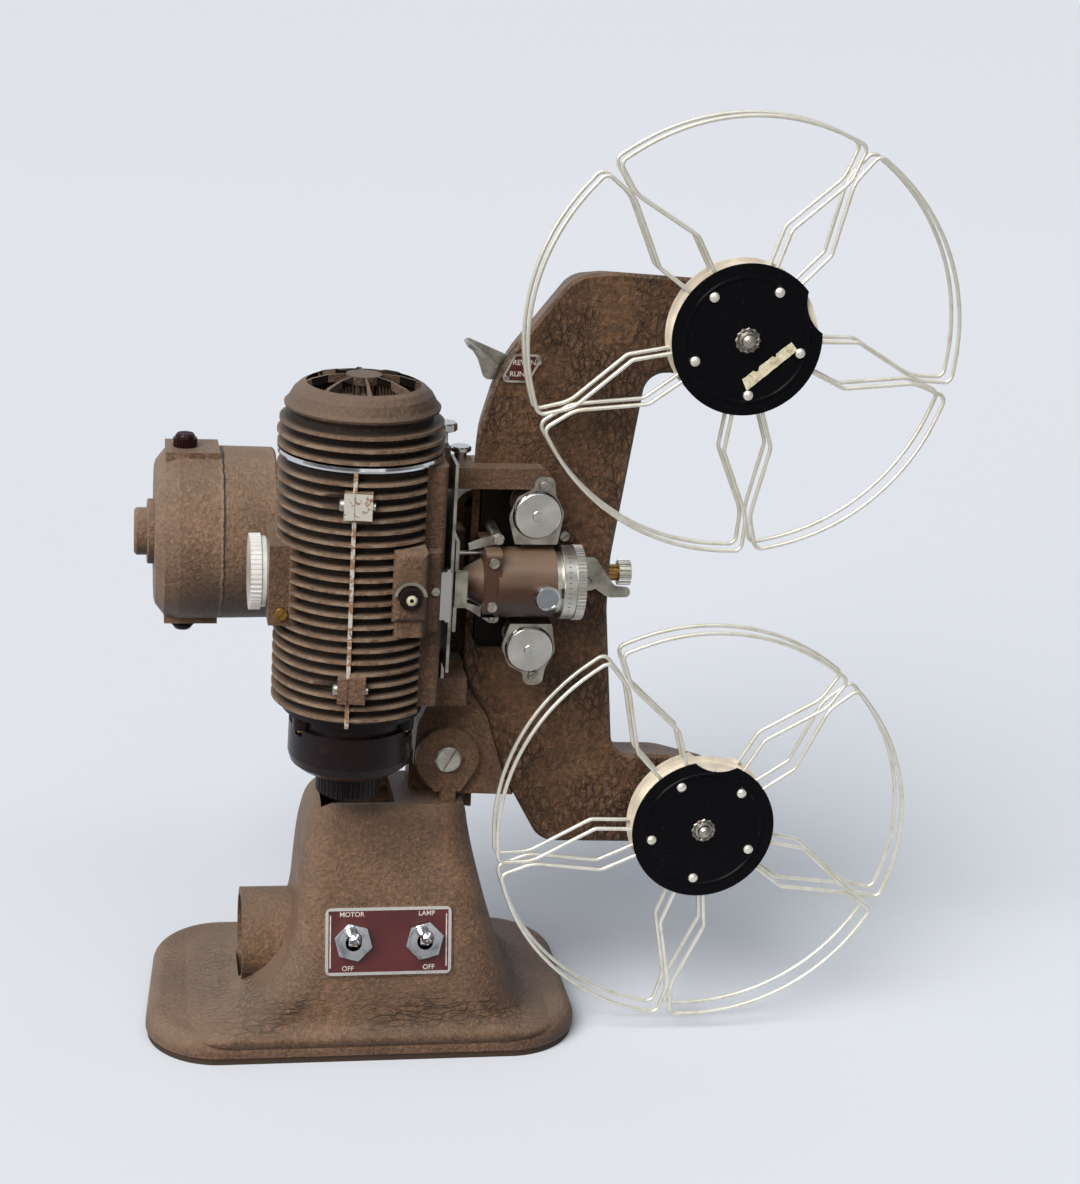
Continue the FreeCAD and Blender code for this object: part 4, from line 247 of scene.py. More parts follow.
def hammertone_enamel(name, code, pitch, wear, depth=0.5, mottle=0.5, painted_shade_strength=0.7, grit=GRIT,
                      stretch=(1.0, 1.0, 1.0)):
    """Stoved wrinkle enamel on a sand casting.

    The paint draws up like leather into small pillows with fine creases between them, over a
    sandy grain. The creases are darkened with painted shade, and the pillow tops carry a painted
    highlight. The creases are deep in some areas and nearly gone in others, large areas have
    faded or yellowed, and a few tiny chips show the pale primer. Faces towards the upper left are
    paler, partly from dust and partly from a painted sheen, and undersides and right sides carry
    painted shade.
    """
    material, tree, shader, place = blank(name)
    drawn = add(tree, "Mapping", {"Vector": place, "Scale": stretch})
    pillows = cells(tree, drawn, pitch)
    small = cells(tree, drawn, pitch * 0.45)
    grain = add(tree, "TexNoise", {"Vector": place, "Scale": 1 / grit, "Detail": 5.0, "Roughness": 0.72})
    patches = add(tree, "TexNoise", {
        "Vector": place, "Scale": 1 / FADED_PATCH, "Detail": 3.0, "Roughness": 0.6, "Distortion": 0.8})
    specks = add(tree, "TexNoise", {"Vector": place, "Scale": 1 / CHIP, "Detail": 2.0, "Roughness": 0.6})
    uneven = add(tree, "TexNoise", {
        "Vector": place, "Scale": 1 / CREASED_PATCH, "Detail": 4.0, "Roughness": 0.65})
    area = add(tree, "MapRange", (uneven, 0.40, 0.60, depth * 0.15, depth))
    wide = add(tree, "MapRange", (pillows, 0.0, 0.14, 1.0, 0.0))
    narrow = add(tree, "MapRange", (small, 0.0, 0.14, 0.55, 0.0))
    crease = add(tree, "Math", (wide, narrow), operation="MAXIMUM")
    drawn_up = add(tree, "Math", (crease, area), **TIMES)
    sunk = add(tree, "Math", (drawn_up, flow_creases(tree, place)), operation="MAXIMUM")
    body = add(tree, "ValToRGB", (add(tree, "MapRange", (grain, 0.34, 0.66)),), stops=[
        (0.0, shade(code, 1.0 - 0.5 * mottle)), (0.5, code), (1.0, shade(code, 1.0 + 0.5 * mottle))])
    # painted shade in the creases, darkest where they are deep
    crease_shaded = add(tree, "Mix", {0: sunk, 6: body, 7: linear(shade(code, 0.30))}, **COLOURS)
    # painted highlight on the pillow tops
    pillow_highlight = add(tree, "Math", (add(tree, "MapRange", (pillows, 0.22, 0.45, 0.0, 0.5)), area), **TIMES)
    lit = add(tree, "Mix", {0: pillow_highlight, 6: crease_shaded, 7: linear(shade("#a08c7a", 0.6 + 0.4 * depth))}, **COLOURS)
    faded = add(tree, "MapRange", (patches, 0.38, 0.68, 0.0, 0.5))
    aged = add(tree, "Mix", {0: faded, 6: lit, 7: linear(shade(code, 0.74))}, **COLOURS)
    chips = add(tree, "MapRange", (specks, 0.80, 0.83, 0.0, wear))
    # dust and painted sheen towards the light, painted shade away from it, then the primer chips
    colour = add(tree, "Mix", {0: chips, 6: dust_sheen_and_shade(tree, aged, DUST_AND_SHEEN, PAINTED_SHADE_TONE, painted_shade_strength), 7: linear(PRIMER)},
                 **COLOURS)
    matt = add(tree, "MapRange", (grain, 0.3, 0.7, 0.34, 0.50))
    duller = add(tree, "MapRange", (patches, 0.4, 0.7, 0.0, 0.08))
    relief = add(tree, "Math", (add(tree, "Math", (grain, 2.2), **TIMES), sunk), operation="SUBTRACT")
    feed(shader, {"Base Color": colour, "Roughness": add(tree, "Math", (matt, duller), operation="ADD"),
                  "Normal": add(tree, "Bump", {"Height": relief, "Strength": 1.0, "Distance": pitch * 0.40}),
                  **ENAMEL_GLOSS})
    return material


def repainted(material):
    """What a second coat starts from: the material's tree, its shader, its colour and its object place."""
    tree = material.node_tree
    shader = next(node for node in tree.nodes if node.type == "BSDF_PRINCIPLED")
    colour = shader.inputs["Base Color"].links[0].from_socket
    return tree, shader, colour, add(tree, "TexCoord", output="Object")


def parted_enamel(name, code, pitch, plane):
    """Wrinkle enamel over the rough ridge that the two castings of the motor leave where they meet: a dark
    gap, and a painted highlight on the lip beside it.
    """
    material = hammertone_enamel(name, code, pitch, 0.4, 0.4, 0.45)
    tree, shader, colour, place = repainted(material)
    along = add(tree, "SeparateXYZ", (place,), "X")
    ragged = add(tree, "TexNoise", {"Vector": place, "Scale": 1 / (4 * MM), "Detail": 4.0, "Roughness": 0.7})
    wander = add(tree, "MapRange", (ragged, 0.2, 0.8, plane - 0.7 * MM, plane + 0.7 * MM))
    beside = add(tree, "Math", (along, wander), operation="SUBTRACT")
    gap, lip_highlight = [add(tree, "Math", (add(tree, "MapRange", (beside, rise[0], rise[1])),
                                   add(tree, "MapRange", (beside, fall[0], fall[1]))), **TIMES)
                for rise, fall in (((-0.3 * MM, 0.3 * MM), (1.1 * MM, 0.4 * MM)),
                                   ((-1.6 * MM, -0.6 * MM), (0.0, -0.4 * MM)))]
    # painted highlight on the lip, on the side towards the light
    half_highlight = add(tree, "Math", (lip_highlight, 0.5), **TIMES)
    with_lip_highlight = add(tree, "Mix", {0: half_highlight, 6: colour, 7: linear("#b7a592")}, **COLOURS)
    shut = linear(shade(code, 0.22))
    feed(shader, {"Base Color": add(tree, "Mix", {0: gap, 6: with_lip_highlight, 7: shut}, **COLOURS)})
    return material


FIN_ROOT = 30.0 * MM     # radius where the painted shade in the roots is darkest
FIN_RIM = 32.7 * MM      # radius where it ends


def finned_enamel(name, code, pitch):
    """Hammertone enamel on the cooling fins.

    Rims painted paler, partly paint rubbed off by handling and partly painted highlight, and painted
    shade in the roots between the fins.
    """
    material = hammertone_enamel(name, code, pitch, 0.8, 0.3, 0.5, 0.2)
    tree, shader, colour, place = repainted(material)
    axis = lamp_centre()
    level = add(tree, "VectorMath", (place, (1.0, 1.0, 0.0)), operation="MULTIPLY")
    reach = add(tree, "VectorMath", (level, (axis.x, axis.y, 0.0)), "Value", operation="DISTANCE")
    # painted shade in the roots between the fins, darkest at FIN_ROOT and gone at FIN_RIM
    painted_light_tone = add(tree, "MapRange", (reach, FIN_ROOT, FIN_RIM, 0.90, 0.0))
    root_shaded = add(tree, "Mix", {0: painted_light_tone, 6: colour, 7: linear(shade(code, 0.20))}, **COLOURS)
    # paler rims in patches, partly paint rubbed off by handling and partly painted highlight
    rim = add(tree, "MapRange", (reach, FIN_RIM - 0.5 * MM, FIN_RIM + 0.1 * MM))
    handled = add(tree, "MapRange", (add(tree, "TexNoise", {"Vector": place, "Scale": 1 / (6 * MM), **SOFT}),
                                     0.40, 0.60, 0.0, 0.75))
    rub = add(tree, "Math", (rim, handled), **TIMES)
    feed(shader, {"Base Color": add(tree, "Mix", {0: rub, 6: root_shaded, 7: linear("#ab967f")}, **COLOURS)})
    return material


def worn_edge(name, code, painted):
    """Casting edge rubbed down to bare aluminium; painted is the share of brown enamel left on it."""
    material, tree, shader, place = blank(name)
    flakes = add(tree, "TexNoise", {
        "Vector": place, "Scale": 1 / (3.4 * MM), "Detail": 4.0, "Roughness": 0.65, "Distortion": 0.8})
    left = add(tree, "MapRange", (flakes, 0.62 - 0.25 * painted, 0.68 - 0.25 * painted))
    feed(shader, {
        "Base Color": add(tree, "Mix", {0: left, 6: linear("#e4e0d8"), 7: linear(shade(code, 1.1))},
                          **COLOURS),
        "Metallic": add(tree, "MapRange", (left, 0.0, 1.0, 0.6, 0.1)),
        "Roughness": add(tree, "MapRange", (left, 0.0, 1.0, 0.38, 0.5)),
        "Normal": add(tree, "Bump", {"Height": flakes, "Strength": 0.5, "Distance": 0.3 * MM})})
    return material


def smooth_enamel(name, code, gloss, shine=0.5, with_dust_and_painted_light=False):
    """Plain stoved enamel: an even film with a little orange peel, handling marks and, if asked, dust with a
    painted sheen towards the light and painted shade away from it.
    """
    material, tree, shader, place = blank(name)
    patches = add(tree, "TexNoise", {"Vector": place, "Scale": 1 / (14 * MM), **RICH})
    peel = add(tree, "TexNoise", {"Vector": place, "Scale": 1 / (1.2 * MM), **EVEN})
    film = add(tree, "ValToRGB", (patches,), stops=[
        (0.3, shade(code, 0.84)), (0.55, code), (0.8, shade(code, 1.14))])
    feed(shader, {
        # dust with painted sheen on upper faces, painted shade on undersides and right sides
        "Base Color": dust_sheen_and_shade(tree, film, "#a8927c", shade(code, 0.35)) if with_dust_and_painted_light else film,
        "Roughness": add(tree, "MapRange", (patches, 0.3, 0.7, gloss, gloss + 0.14)),
        "IOR": 1.5, "Specular IOR Level": shine,
        "Normal": add(tree, "Bump", {"Height": peel, "Strength": 0.12, "Distance": 0.1 * MM})})
    return material


def gloss_black_enamel(name, code):
    """Gloss enamel on pressed sheet: nearly black, with pale dust lying on it in clouds."""
    material, tree, shader, place = blank(name)
    dust = add(tree, "TexNoise", {"Vector": place, "Scale": 1 / (1.1 * MM), "Detail": 3.0, "Roughness": 0.7})
    clouds = add(tree, "TexNoise", {"Vector": place, "Scale": 1 / (13 * MM), **SOFT})
    amount = add(tree, "Math", (add(tree, "MapRange", (dust, 0.66, 0.74)),
                                add(tree, "MapRange", (clouds, 0.40, 0.70, 0.05, 0.50))), **TIMES)
    feed(shader, {
        "Base Color": add(tree, "Mix", {0: amount, 6: linear(code), 7: linear("#8d8b88")}, **COLOURS),
        "Roughness": add(tree, "MapRange", (clouds, 0.3, 0.7, 0.16, 0.32)),
        "IOR": 1.5, "Specular IOR Level": 0.06,
        "Normal": add(tree, "Bump", {"Height": clouds, "Strength": 0.08, "Distance": 0.2 * MM})})
    return material


def moulded_bakelite(name, code):
    """Compression-moulded bakelite: deep gloss, a faint red-brown cloud of wood filler."""
    material, tree, shader, place = blank(name)
    clouds = add(tree, "TexNoise", {"Vector": place, "Scale": 1 / (8 * MM), "Detail": 5.0, "Roughness": 0.6,
                                    "Distortion": 1.2})
    skin = add(tree, "TexNoise", {"Vector": place, "Scale": 1 / (1.5 * MM), **SOFT})
    feed(shader, {
        "Base Color": add(tree, "ValToRGB", (clouds,), stops=[
            (0.3, shade(code, 0.75)), (0.6, code), (0.85, "#3a2020")]),
        "Roughness": add(tree, "MapRange", (clouds, 0.3, 0.7, 0.20, 0.32)),
        "IOR": 1.6, "Specular IOR Level": 0.14,
        "Normal": add(tree, "Bump", {"Height": skin, "Strength": 0.06, "Distance": 0.1 * MM})})
    return material


def plated_metal(name, code, low, high, tarnish="#8f8a78", stained=0.25, metal=1.0):
    """Electroplate over polished metal: mirror-like, dulled in clouds where it has tarnished."""
    material, tree, shader, place = blank(name)
    clouds = add(tree, "TexNoise", {"Vector": place, "Scale": 1 / (6 * MM), "Detail": 4.0, "Roughness": 0.6,
                                    "Distortion": 0.5})
    skin = add(tree, "TexNoise", {"Vector": place, "Scale": 1 / (0.9 * MM), **SOFT})
    dull = add(tree, "MapRange", (clouds, 0.45, 0.72, 0.0, stained))
    feed(shader, {
        "Base Color": add(tree, "Mix", {0: dull, 6: linear(code), 7: linear(tarnish)}, **COLOURS),
        "Roughness": add(tree, "MapRange", (clouds, 0.35, 0.7, low, high)),
        "Metallic": metal,
        "Normal": add(tree, "Bump", {"Height": skin, "Strength": 0.05, "Distance": 0.05 * MM})})
    return material


def turned_metal(name, code, gloss, centre, axis, pitch, metal=1.0):
    """Metal faced on a lathe.

    Fine rings round the axis stretch each highlight into a fan across the face. The ring direction
    goes to the shader as its tangent. The marks are drawn coarser than real ones so that they show.
    """
    material, tree, shader, place = blank(name)
    from_centre = add(tree, "VectorMath", (place, centre), operation="SUBTRACT")
    ring = add(tree, "VectorMath", (axis, from_centre), operation="CROSS_PRODUCT")
    reach = add(tree, "VectorMath", (ring,), "Value", operation="LENGTH")
    marks = add(tree, "Math", (add(tree, "Math", (reach, 2 * math.pi / pitch), **TIMES),), operation="SINE")
    clouds = add(tree, "TexNoise", {"Vector": place, "Scale": 1 / (5 * MM), **SOFT})
    feed(shader, {
        "Tangent": add(tree, "VectorMath", (ring,), operation="NORMALIZE"),
        "Base Color": add(tree, "ValToRGB", (clouds,), stops=[(0.3, shade(code, 0.95)), (0.7, code)]),
        "Roughness": add(tree, "MapRange", (clouds, 0.3, 0.7, gloss, gloss + 0.04)),
        "Metallic": metal, "Anisotropic": 0.75,
        "Normal": add(tree, "Bump", {"Height": marks, "Strength": 0.06, "Distance": 0.03 * MM})})
    return material


def rolled_steel(name, code, gloss):
    """Cold rolled or machined steel: grey, satin, with faint grain along X and a few dull stains."""
    material, tree, shader, place = blank(name)
    stretched = add(tree, "Mapping", {"Vector": place, "Scale": (0.12, 1.0, 1.0)})
    grain = add(tree, "TexNoise", {"Vector": stretched, "Scale": 1 / (0.7 * MM), **EVEN})
    stains = add(tree, "TexNoise", {"Vector": place, "Scale": 1 / (7 * MM), **RICH})
    satin = add(tree, "MapRange", (grain, 0.3, 0.7, gloss, gloss + 0.10))
    duller = add(tree, "MapRange", (stains, 0.5, 0.7, 0.0, 0.12))
    feed(shader, {
        "Base Color": add(tree, "ValToRGB", (stains,), stops=[
            (0.3, shade(code, 0.72)), (0.55, code), (0.8, shade(code, 1.12))]),
        "Roughness": add(tree, "Math", (satin, duller), operation="ADD"),
        "Metallic": 1.0,
        "Normal": add(tree, "Bump", {"Height": grain, "Strength": 0.10, "Distance": 0.05 * MM})})
    return material


def clear_glass(name):
    """Clear optical and lamp glass: nothing to see but its reflections and the bend it gives the view."""
    material, tree, shader, place = blank(name)
    smears = add(tree, "TexNoise", {"Vector": place, "Scale": 1 / (6 * MM), **SOFT})
    feed(shader, {
        "Base Color": linear("#f4f8f8"), "Transmission Weight": 1.0, "IOR": 1.5,
        "Roughness": add(tree, "MapRange", (smears, 0.4, 0.7, 0.01, 0.06))})
    return material


def pressed_fibre(name):
    """Pressed fibre board: matt, dark brown, with short felted fibres."""
    material, tree, shader, place = blank(name)
    fibres = add(tree, "TexNoise", {"Vector": place, "Scale": 1 / (1.4 * MM), "Detail": 5.0, "Roughness": 0.7,
                                    "Distortion": 2.0})
    feed(shader, {
        "Base Color": add(tree, "ValToRGB", (fibres,), stops=[(0.3, "#2c221b"), (0.7, "#49392c")]),
        "Roughness": 0.82,
        "Normal": add(tree, "Bump", {"Height": fibres, "Strength": 0.3, "Distance": 0.2 * MM})})
    return material


def paper_tape(name):
    """Old paper tape: cream, matt, its top layer torn off in patches that leave grey gum."""
    material, tree, shader, place = blank(name)
    torn = add(tree, "TexNoise", {"Vector": place, "Scale": 1 / (3.2 * MM), "Detail": 5.0, "Roughness": 0.7,
                                  "Distortion": 1.0})
    feed(shader, {
        "Base Color": add(tree, "ValToRGB", (torn,), stops=[
            (0.30, "#6f675a"), (0.40, "#c9bf9f"), (0.60, "#eee6cd"), (0.9, "#f6f0dd")]),
        "Roughness": 0.78,
        "Normal": add(tree, "Bump", {"Height": torn, "Strength": 0.4, "Distance": 0.2 * MM})})
    return material


def printed_ink(name, code):
    """Screen-printed ink: flat and even, rubbed thin in places."""
    material, tree, shader, place = blank(name)
    rub = add(tree, "TexNoise", {"Vector": place, "Scale": 1 / (2 * MM), **SOFT})
    feed(shader, {"Base Color": add(tree, "ValToRGB", (rub,), stops=[(0.3, shade(code, 0.80)), (0.6, code)]),
                  "Roughness": 0.5})
    return material


# Painting CAD nodes

def paint(node, base, parts=()):
    """Gives a CAD node its base material, and each (material, test) to the faces whose middle passes.

    A test gets the middle of a face, in millimetres, and its normal.
    """
    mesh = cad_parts[node].data
    mesh.materials.clear()
    for material in [base] + [material for material, _ in parts]:
        mesh.materials.append(material)
    for face in mesh.polygons:
        face.material_index = 0
        middle = face.center / MM
        for index, (_, test) in enumerate(parts):
            if test(middle, face.normal):
                face.material_index = index + 1


def node_middle(node):
    low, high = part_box(node)
    return (low + high) / 2


def lamp_centre():
    return node_middle("socket_knob")


def low_high(node):
    """Corners of a node's box in millimetres."""
    return [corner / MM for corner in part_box(node)]


def away(point, centre, axis):
    """Distance of a point from the line through centre along an axis."""
    return math.hypot(*(point[k] - centre[k] for k in (X, Y, Z) if k != axis))


def once(key, make, *sizes):
    """Makes a shared material the first time it is asked for."""
    return bpy.data.materials.get(key) or make(key, *sizes)


def finish_values():
    return bpy.context.scene.projector_finish


def steel():
    return once("satin steel", rolled_steel, "#b6b3aa", 0.30)


def chrome():
    return once("chrome plate", plated_metal, "#d6d8dc", 0.06, 0.20, "#a9a9a8", 0.2)


def nickel():
    return once("nickel plate", plated_metal, "#dddad2", 0.16, 0.30)


def brass():
    return once("dull brass", plated_metal, "#a37f47", 0.26, 0.42, "#5d4422", 0.5)


def bakelite():
    return once("moulded bakelite", moulded_bakelite, finish_values().bakelite)


def brown_enamel():
    look = finish_values()
    return once("hammertone enamel", hammertone_enamel, look.hammertone, look.wrinkle, 0.55)


# Operators

# The lamp house, with its lengths in millimetres
SEAM_TURN = math.radians(9.0)    # how far the seam is turned from -Y
SEAM_HALF = 1.0                  # half width of the seam
SEAM_REACH = 32.7                # how far from the lamp the edge of the seam begins
LUG_HALF = 8.0                   # half width of the clamp lugs
LUG_REACH = 35.0                 # how far from the lamp the lugs begin
LUG_BOTTOM = 230.0               # only the upper lug is rubbed bare
FIN_REACH = 33.1                 # what lies further from the lamp than the fins is plain casting
DOME_HEIGHT = 15.0               # height of the dome on the cap
SOOT_ABOVE = 3.5                 # how far above the foot of the dome the soot begins


def seam_frame():
    """Turns a place in millimetres so that the lamp house seam lies along local -Y from the lamp."""
    centre = lamp_centre() / MM
    return Matrix.Rotation(SEAM_TURN, 4, "Z") @ Matrix.Translation((-centre.x, -centre.y, 0))


class PROJECTOR_OT_castings(bpy.types.Operator):
    """Enamel the castings of the base, the head and the motor"""
    bl_idname = "projector.castings"
    bl_label = "Castings"

    def execute(self, context):
        look = finish_values()
        for node in ("base_casting", "lamp_bracket", "drive_housing"):
            paint(node, brown_enamel())
        parted = parted_enamel("motor enamel", look.motor_brown, look.wrinkle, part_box("motor_end_bell")[1].x)
        for node in ("motor_frame", "motor_end_bell"):
            paint(node, parted)
        dark = hammertone_enamel("dark hammertone enamel", look.hammertone_dark, look.spine_wrinkle,
                                 0.30, 1.0, 0.6, 0.6, 2.4 * MM, (1.0, 1.0, 0.55))
        black = smooth_enamel("blacked steel", "#14110e", 0.42, 0.12)
        paint("spine_casting", dark)
        paint("spine_covers", dark, [(black, lambda p, n: p.y < 0)])
        paint("shutter_blade", black)
        # the lens mount gets dust with painted sheen on top and painted shade below
        paint("lens_mount", smooth_enamel("smooth brown enamel", look.smooth_brown, 0.30, 0.5, True))
        paint("base_board", pressed_fibre("pressed fibre"))
        return {"FINISHED"}


class PROJECTOR_OT_lamp_house(bpy.types.Operator):
    """Enamel the finned shells and the cap of the lamp house, and rub their edges"""
    bl_idname = "projector.lamp_house"
    bl_label = "Lamp house"

    def execute(self, context):
        look = finish_values()
        axis = lamp_centre() / MM
        seam = seam_frame()
        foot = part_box("lamphouse_cap")[1].z / MM - DOME_HEIGHT
        fins = finned_enamel("fin enamel", look.fins, look.fine_wrinkle)
        dome = hammertone_enamel("dome enamel", shade(look.fins, 0.76), look.fine_wrinkle, 0.6, 0.4)
        soot = smooth_enamel("sooted enamel", "#120e0b", 0.6, 0.1)
        worn = worn_edge("rubbed lug", look.hammertone, 0.30)
        thin = worn_edge("rubbed seam", look.hammertone, 0.62)

        def inside_dome(p, n):
            faces_axis = n.x * (p.x - axis.x) + n.y * (p.y - axis.y) < 0
            return p.z > foot + SOOT_ABOVE and (n.z < -0.2 or (faces_axis and n.z < 0.3))

        def on_seam(p, n):
            return abs((seam @ p).x) < SEAM_HALF and (seam @ p).y < -SEAM_REACH

        def on_lug(p, n):
            return abs((seam @ p).x) < LUG_HALF and (seam @ p).y < -LUG_REACH and p.z > LUG_BOTTOM

        paint("lamphouse_cap", fins, [(dome, lambda p, n: p.z > foot), (soot, inside_dome)])
        for node in ("lamphouse_left_shell", "lamphouse_right_shell"):
            paint(node, fins, [(brown_enamel(), lambda p, n: away(p, axis, Z) > FIN_REACH), (thin, on_seam),
                               (worn, on_lug)])
        return {"FINISHED"}


class PROJECTOR_OT_pivot(bpy.types.Operator):
    """Finish the pivot bolt, whose disc is enamelled like the castings"""
    bl_idname = "projector.pivot"
    bl_label = "Pivot"

    def execute(self, context):
        low, high = low_high("pivot_bolt")
        centre = Vector(((low.x + high.x) / 2, 0, high.z - (high.x - low.x) / 2))
        disc_front = low.y + 2.9
        disc_back = disc_front + 3.9
        hole = 4.2
        paint("pivot_bolt", steel(), [
            (brown_enamel(), lambda p, n: disc_front < p.y < disc_back and away(p, centre, Y) > hole)])
        return {"FINISHED"}


class PROJECTOR_OT_mouldings(bpy.types.Operator):
    """Finish the bakelite lamp socket, brush caps, inlet and condenser knob"""
    bl_idname = "projector.mouldings"
    bl_label = "Mouldings"

    def execute(self, context):
        for node in ("socket_flange", "socket_bowl", "socket_knob"):
            paint(node, bakelite())
        shaft = node_middle("armature") / MM
        holder_reach = 36.5
        paint("brush_sets", moulded_bakelite("red-brown bakelite", "#2c1113"), [
            (brass(), lambda p, n: abs(p.z - shaft.z) < holder_reach)])
        inlet = node_middle("power_inlet") / MM
        pin_spread, pin_radius = 4.5, 2.45
        pins = [inlet + Vector((0, side * pin_spread, 0)) for side in (-1, 1)]
        paint("power_inlet", bakelite(), [
            (brass(), lambda p, n: min(away(p, pin, X) for pin in pins) < pin_radius)])
        knob = node_middle("condenser_knob") / MM
        front = low_high("condenser_knob")[0].y
        filler_radius = 2.2
        paint("condenser_knob", bakelite(), [
            (smooth_enamel("pale filler", "#cbc7ad", 0.4),
             lambda p, n: front + 0.2 < p.y < front + 3.0 and away(p, knob, Y) < filler_radius)])
        return {"FINISHED"}


class PROJECTOR_OT_windings(bpy.types.Operator):
    """Finish the laminated iron and the copper inside the motor"""
    bl_idname = "projector.windings"
    bl_label = "Windings"

    def execute(self, context):
        copper = plated_metal("bare copper", "#b87850", 0.30, 0.45, "#6b4028", 0.4)
        laminations = rolled_steel("laminated iron", "#5c5a57", 0.50)
        iron_left, iron_right = -69.0, -49.0     # the copper coils stick out on both sides
        paint("motor_field", laminations, [(copper, lambda p, n: not iron_left <= p.x <= iron_right)])
        commutator_end = low_high("armature")[0].x + 8.1
        paint("armature", laminations, [(copper, lambda p, n: p.x < commutator_end)])
        return {"FINISHED"}


class PROJECTOR_OT_bright_work(bpy.types.Operator):
    """Finish the steel, chromed, nickelled and brass pieces"""
    bl_idname = "projector.bright_work"
    bl_label = "Bright work"

    def execute(self, context):
        for node in ("aperture_plate", "pressure_plate", "claw_arm", "idler_gear", "main_shaft",
                     "upper_spindle", "lower_spindle", "upper_film_guard", "lower_film_guard",
                     "clutch_lever", "rewind_lever"):
            paint(node, steel())
        for node in ("motor_switch_lever", "lamp_switch_lever", "trim_ring", "lamp_clamp_knob",
                     "framing_knob"):
            paint(node, chrome())
        lock_screw_right = -30.0
        paint("head_screws", steel(), [(brass(), lambda p, n: p.x < lock_screw_right)])
        switch_body_front = -44.0
        paint("switches", chrome(), [(bakelite(), lambda p, n: p.y > switch_body_front)])
        latch_right = low_high("gate_arms")[0].x + 4.7
        paint("gate_arms", steel(), [(chrome(), lambda p, n: p.x < latch_right)])
        knob_left = low_high("cam_shaft")[1].x - 5.3
        paint("cam_shaft", brass(), [(nickel(), lambda p, n: p.x > knob_left)])
        filament_bottom = low_high("lamp_base")[0].z + 17.2
        paint("lamp_base", brass(), [(steel(), lambda p, n: p.z > filament_bottom)])
        return {"FINISHED"}


class PROJECTOR_OT_turned_work(bpy.types.Operator):
    """Finish the pieces whose lathe marks show: sprocket discs, lens band, focus knob and lock ring"""
    bl_idname = "projector.turned_work"
    bl_label = "Turned work"

    def execute(self, context):
        pitch = finish_values().turning_pitch
        disc_back = -27.0
        for side in ("upper", "lower"):
            node = side + "_sprocket"
            disc = turned_metal("turned " + side + " sprocket", "#dfe0de", 0.24, node_middle(node),
                                (0, 1, 0), pitch)
            paint(node, steel(), [(disc, lambda p, n: p.y < disc_back)])
        paint("lens_tube", turned_metal("satin nickel band", "#cac8c0", 0.30, node_middle("lens_tube"),
                                        (1, 0, 0), pitch))
        paint("reflector_ring", turned_metal("turned lock ring", "#f4f3ef", 0.34,
                                             node_middle("reflector_ring"), (1, 0, 0), pitch, 0.55))
        focus = node_middle("focus_knob")
        face_radius = 4.0
        face = turned_metal("polished knob face", "#aebac6", 0.20, focus, (0, 1, 0), pitch)
        paint("focus_knob", chrome(), [
            (face, lambda p, n: n.y < -0.9 and away(p, focus / MM, Y) < face_radius)])
        return {"FINISHED"}


class PROJECTOR_OT_optics(bpy.types.Operator):
    """Finish the glass and the silvered mirror"""
    bl_idname = "projector.optics"
    bl_label = "Optics"

    def execute(self, context):
        glass = clear_glass("clear glass")
        for node in ("lens_glasses", "condenser_lens", "lamp_bulb"):
            paint(node, glass)
        paint("reflector_mirror", plated_metal("silvered glass", "#eceeef", 0.02, 0.06, "#d8d8d8", 0.1))
        return {"FINISHED"}


class PROJECTOR_OT_reels(bpy.types.Operator):
    """Finish the wire reels, their hub discs and their drums"""
    bl_idname = "projector.reels"
    bl_label = "Reels"

    def execute(self, context):
        look = finish_values()
        wire = plated_metal("nickelled wire", look.wire, 0.28, 0.44, "#c2b78c", 0.5, 0.7)
        disc = gloss_black_enamel("hub enamel", look.hub_black)
        drum = smooth_enamel("drum lacquer", "#e2d9ca", 0.36)
        middle = node_middle("upper_reel_plates").y / MM
        for side in ("upper", "lower"):
            paint(side + "_reel_wires", wire)
            paint(side + "_reel_plates", disc, [(drum, lambda p, n: p.y > middle and n.y < 0.5)])
            paint(side + "_reel_drum", drum)
        return {"FINISHED"}


def lettering(words, height, thickness):
    """Flat letters as a mesh, centred, lying in local X-Y with their faces towards +Z."""
    capital_share = 0.70      # height of a capital as a share of the font size
    stroke = 0.012            # how much fatter the strokes are, as a share of the height
    curve = bpy.data.curves.new("letters", "FONT")
    curve.body = words
    curve.size = height / capital_share
    curve.align_x = "CENTER"
    curve.align_y = "CENTER"
    curve.extrude = thickness / 2
    curve.offset = height * stroke
    thing = bpy.data.objects.new("letters", curve)
    bpy.context.scene.collection.objects.link(thing)
    mesh = bpy.data.meshes.new_from_object(thing.evaluated_get(bpy.context.evaluated_depsgraph_get()))
    bpy.data.objects.remove(thing)
    bpy.data.curves.remove(curve)
    return mesh


def gathered(name, bits, material, body):
    """One object at the origin from (mesh, matrix) bits, riding on a CAD body."""
    whole = bmesh.new()
    for mesh, matrix in bits:
        mesh.transform(matrix)
        whole.from_mesh(mesh)
        bpy.data.meshes.remove(mesh)
    for face in whole.faces:
        face.material_index = 0
    made = bpy.data.meshes.new(name)
    whole.to_mesh(made)
    whole.free()
    made.materials.append(material)
    thing = bpy.data.objects.new(name, made)
    bpy.context.scene.collection.objects.link(thing)
    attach(thing, body)


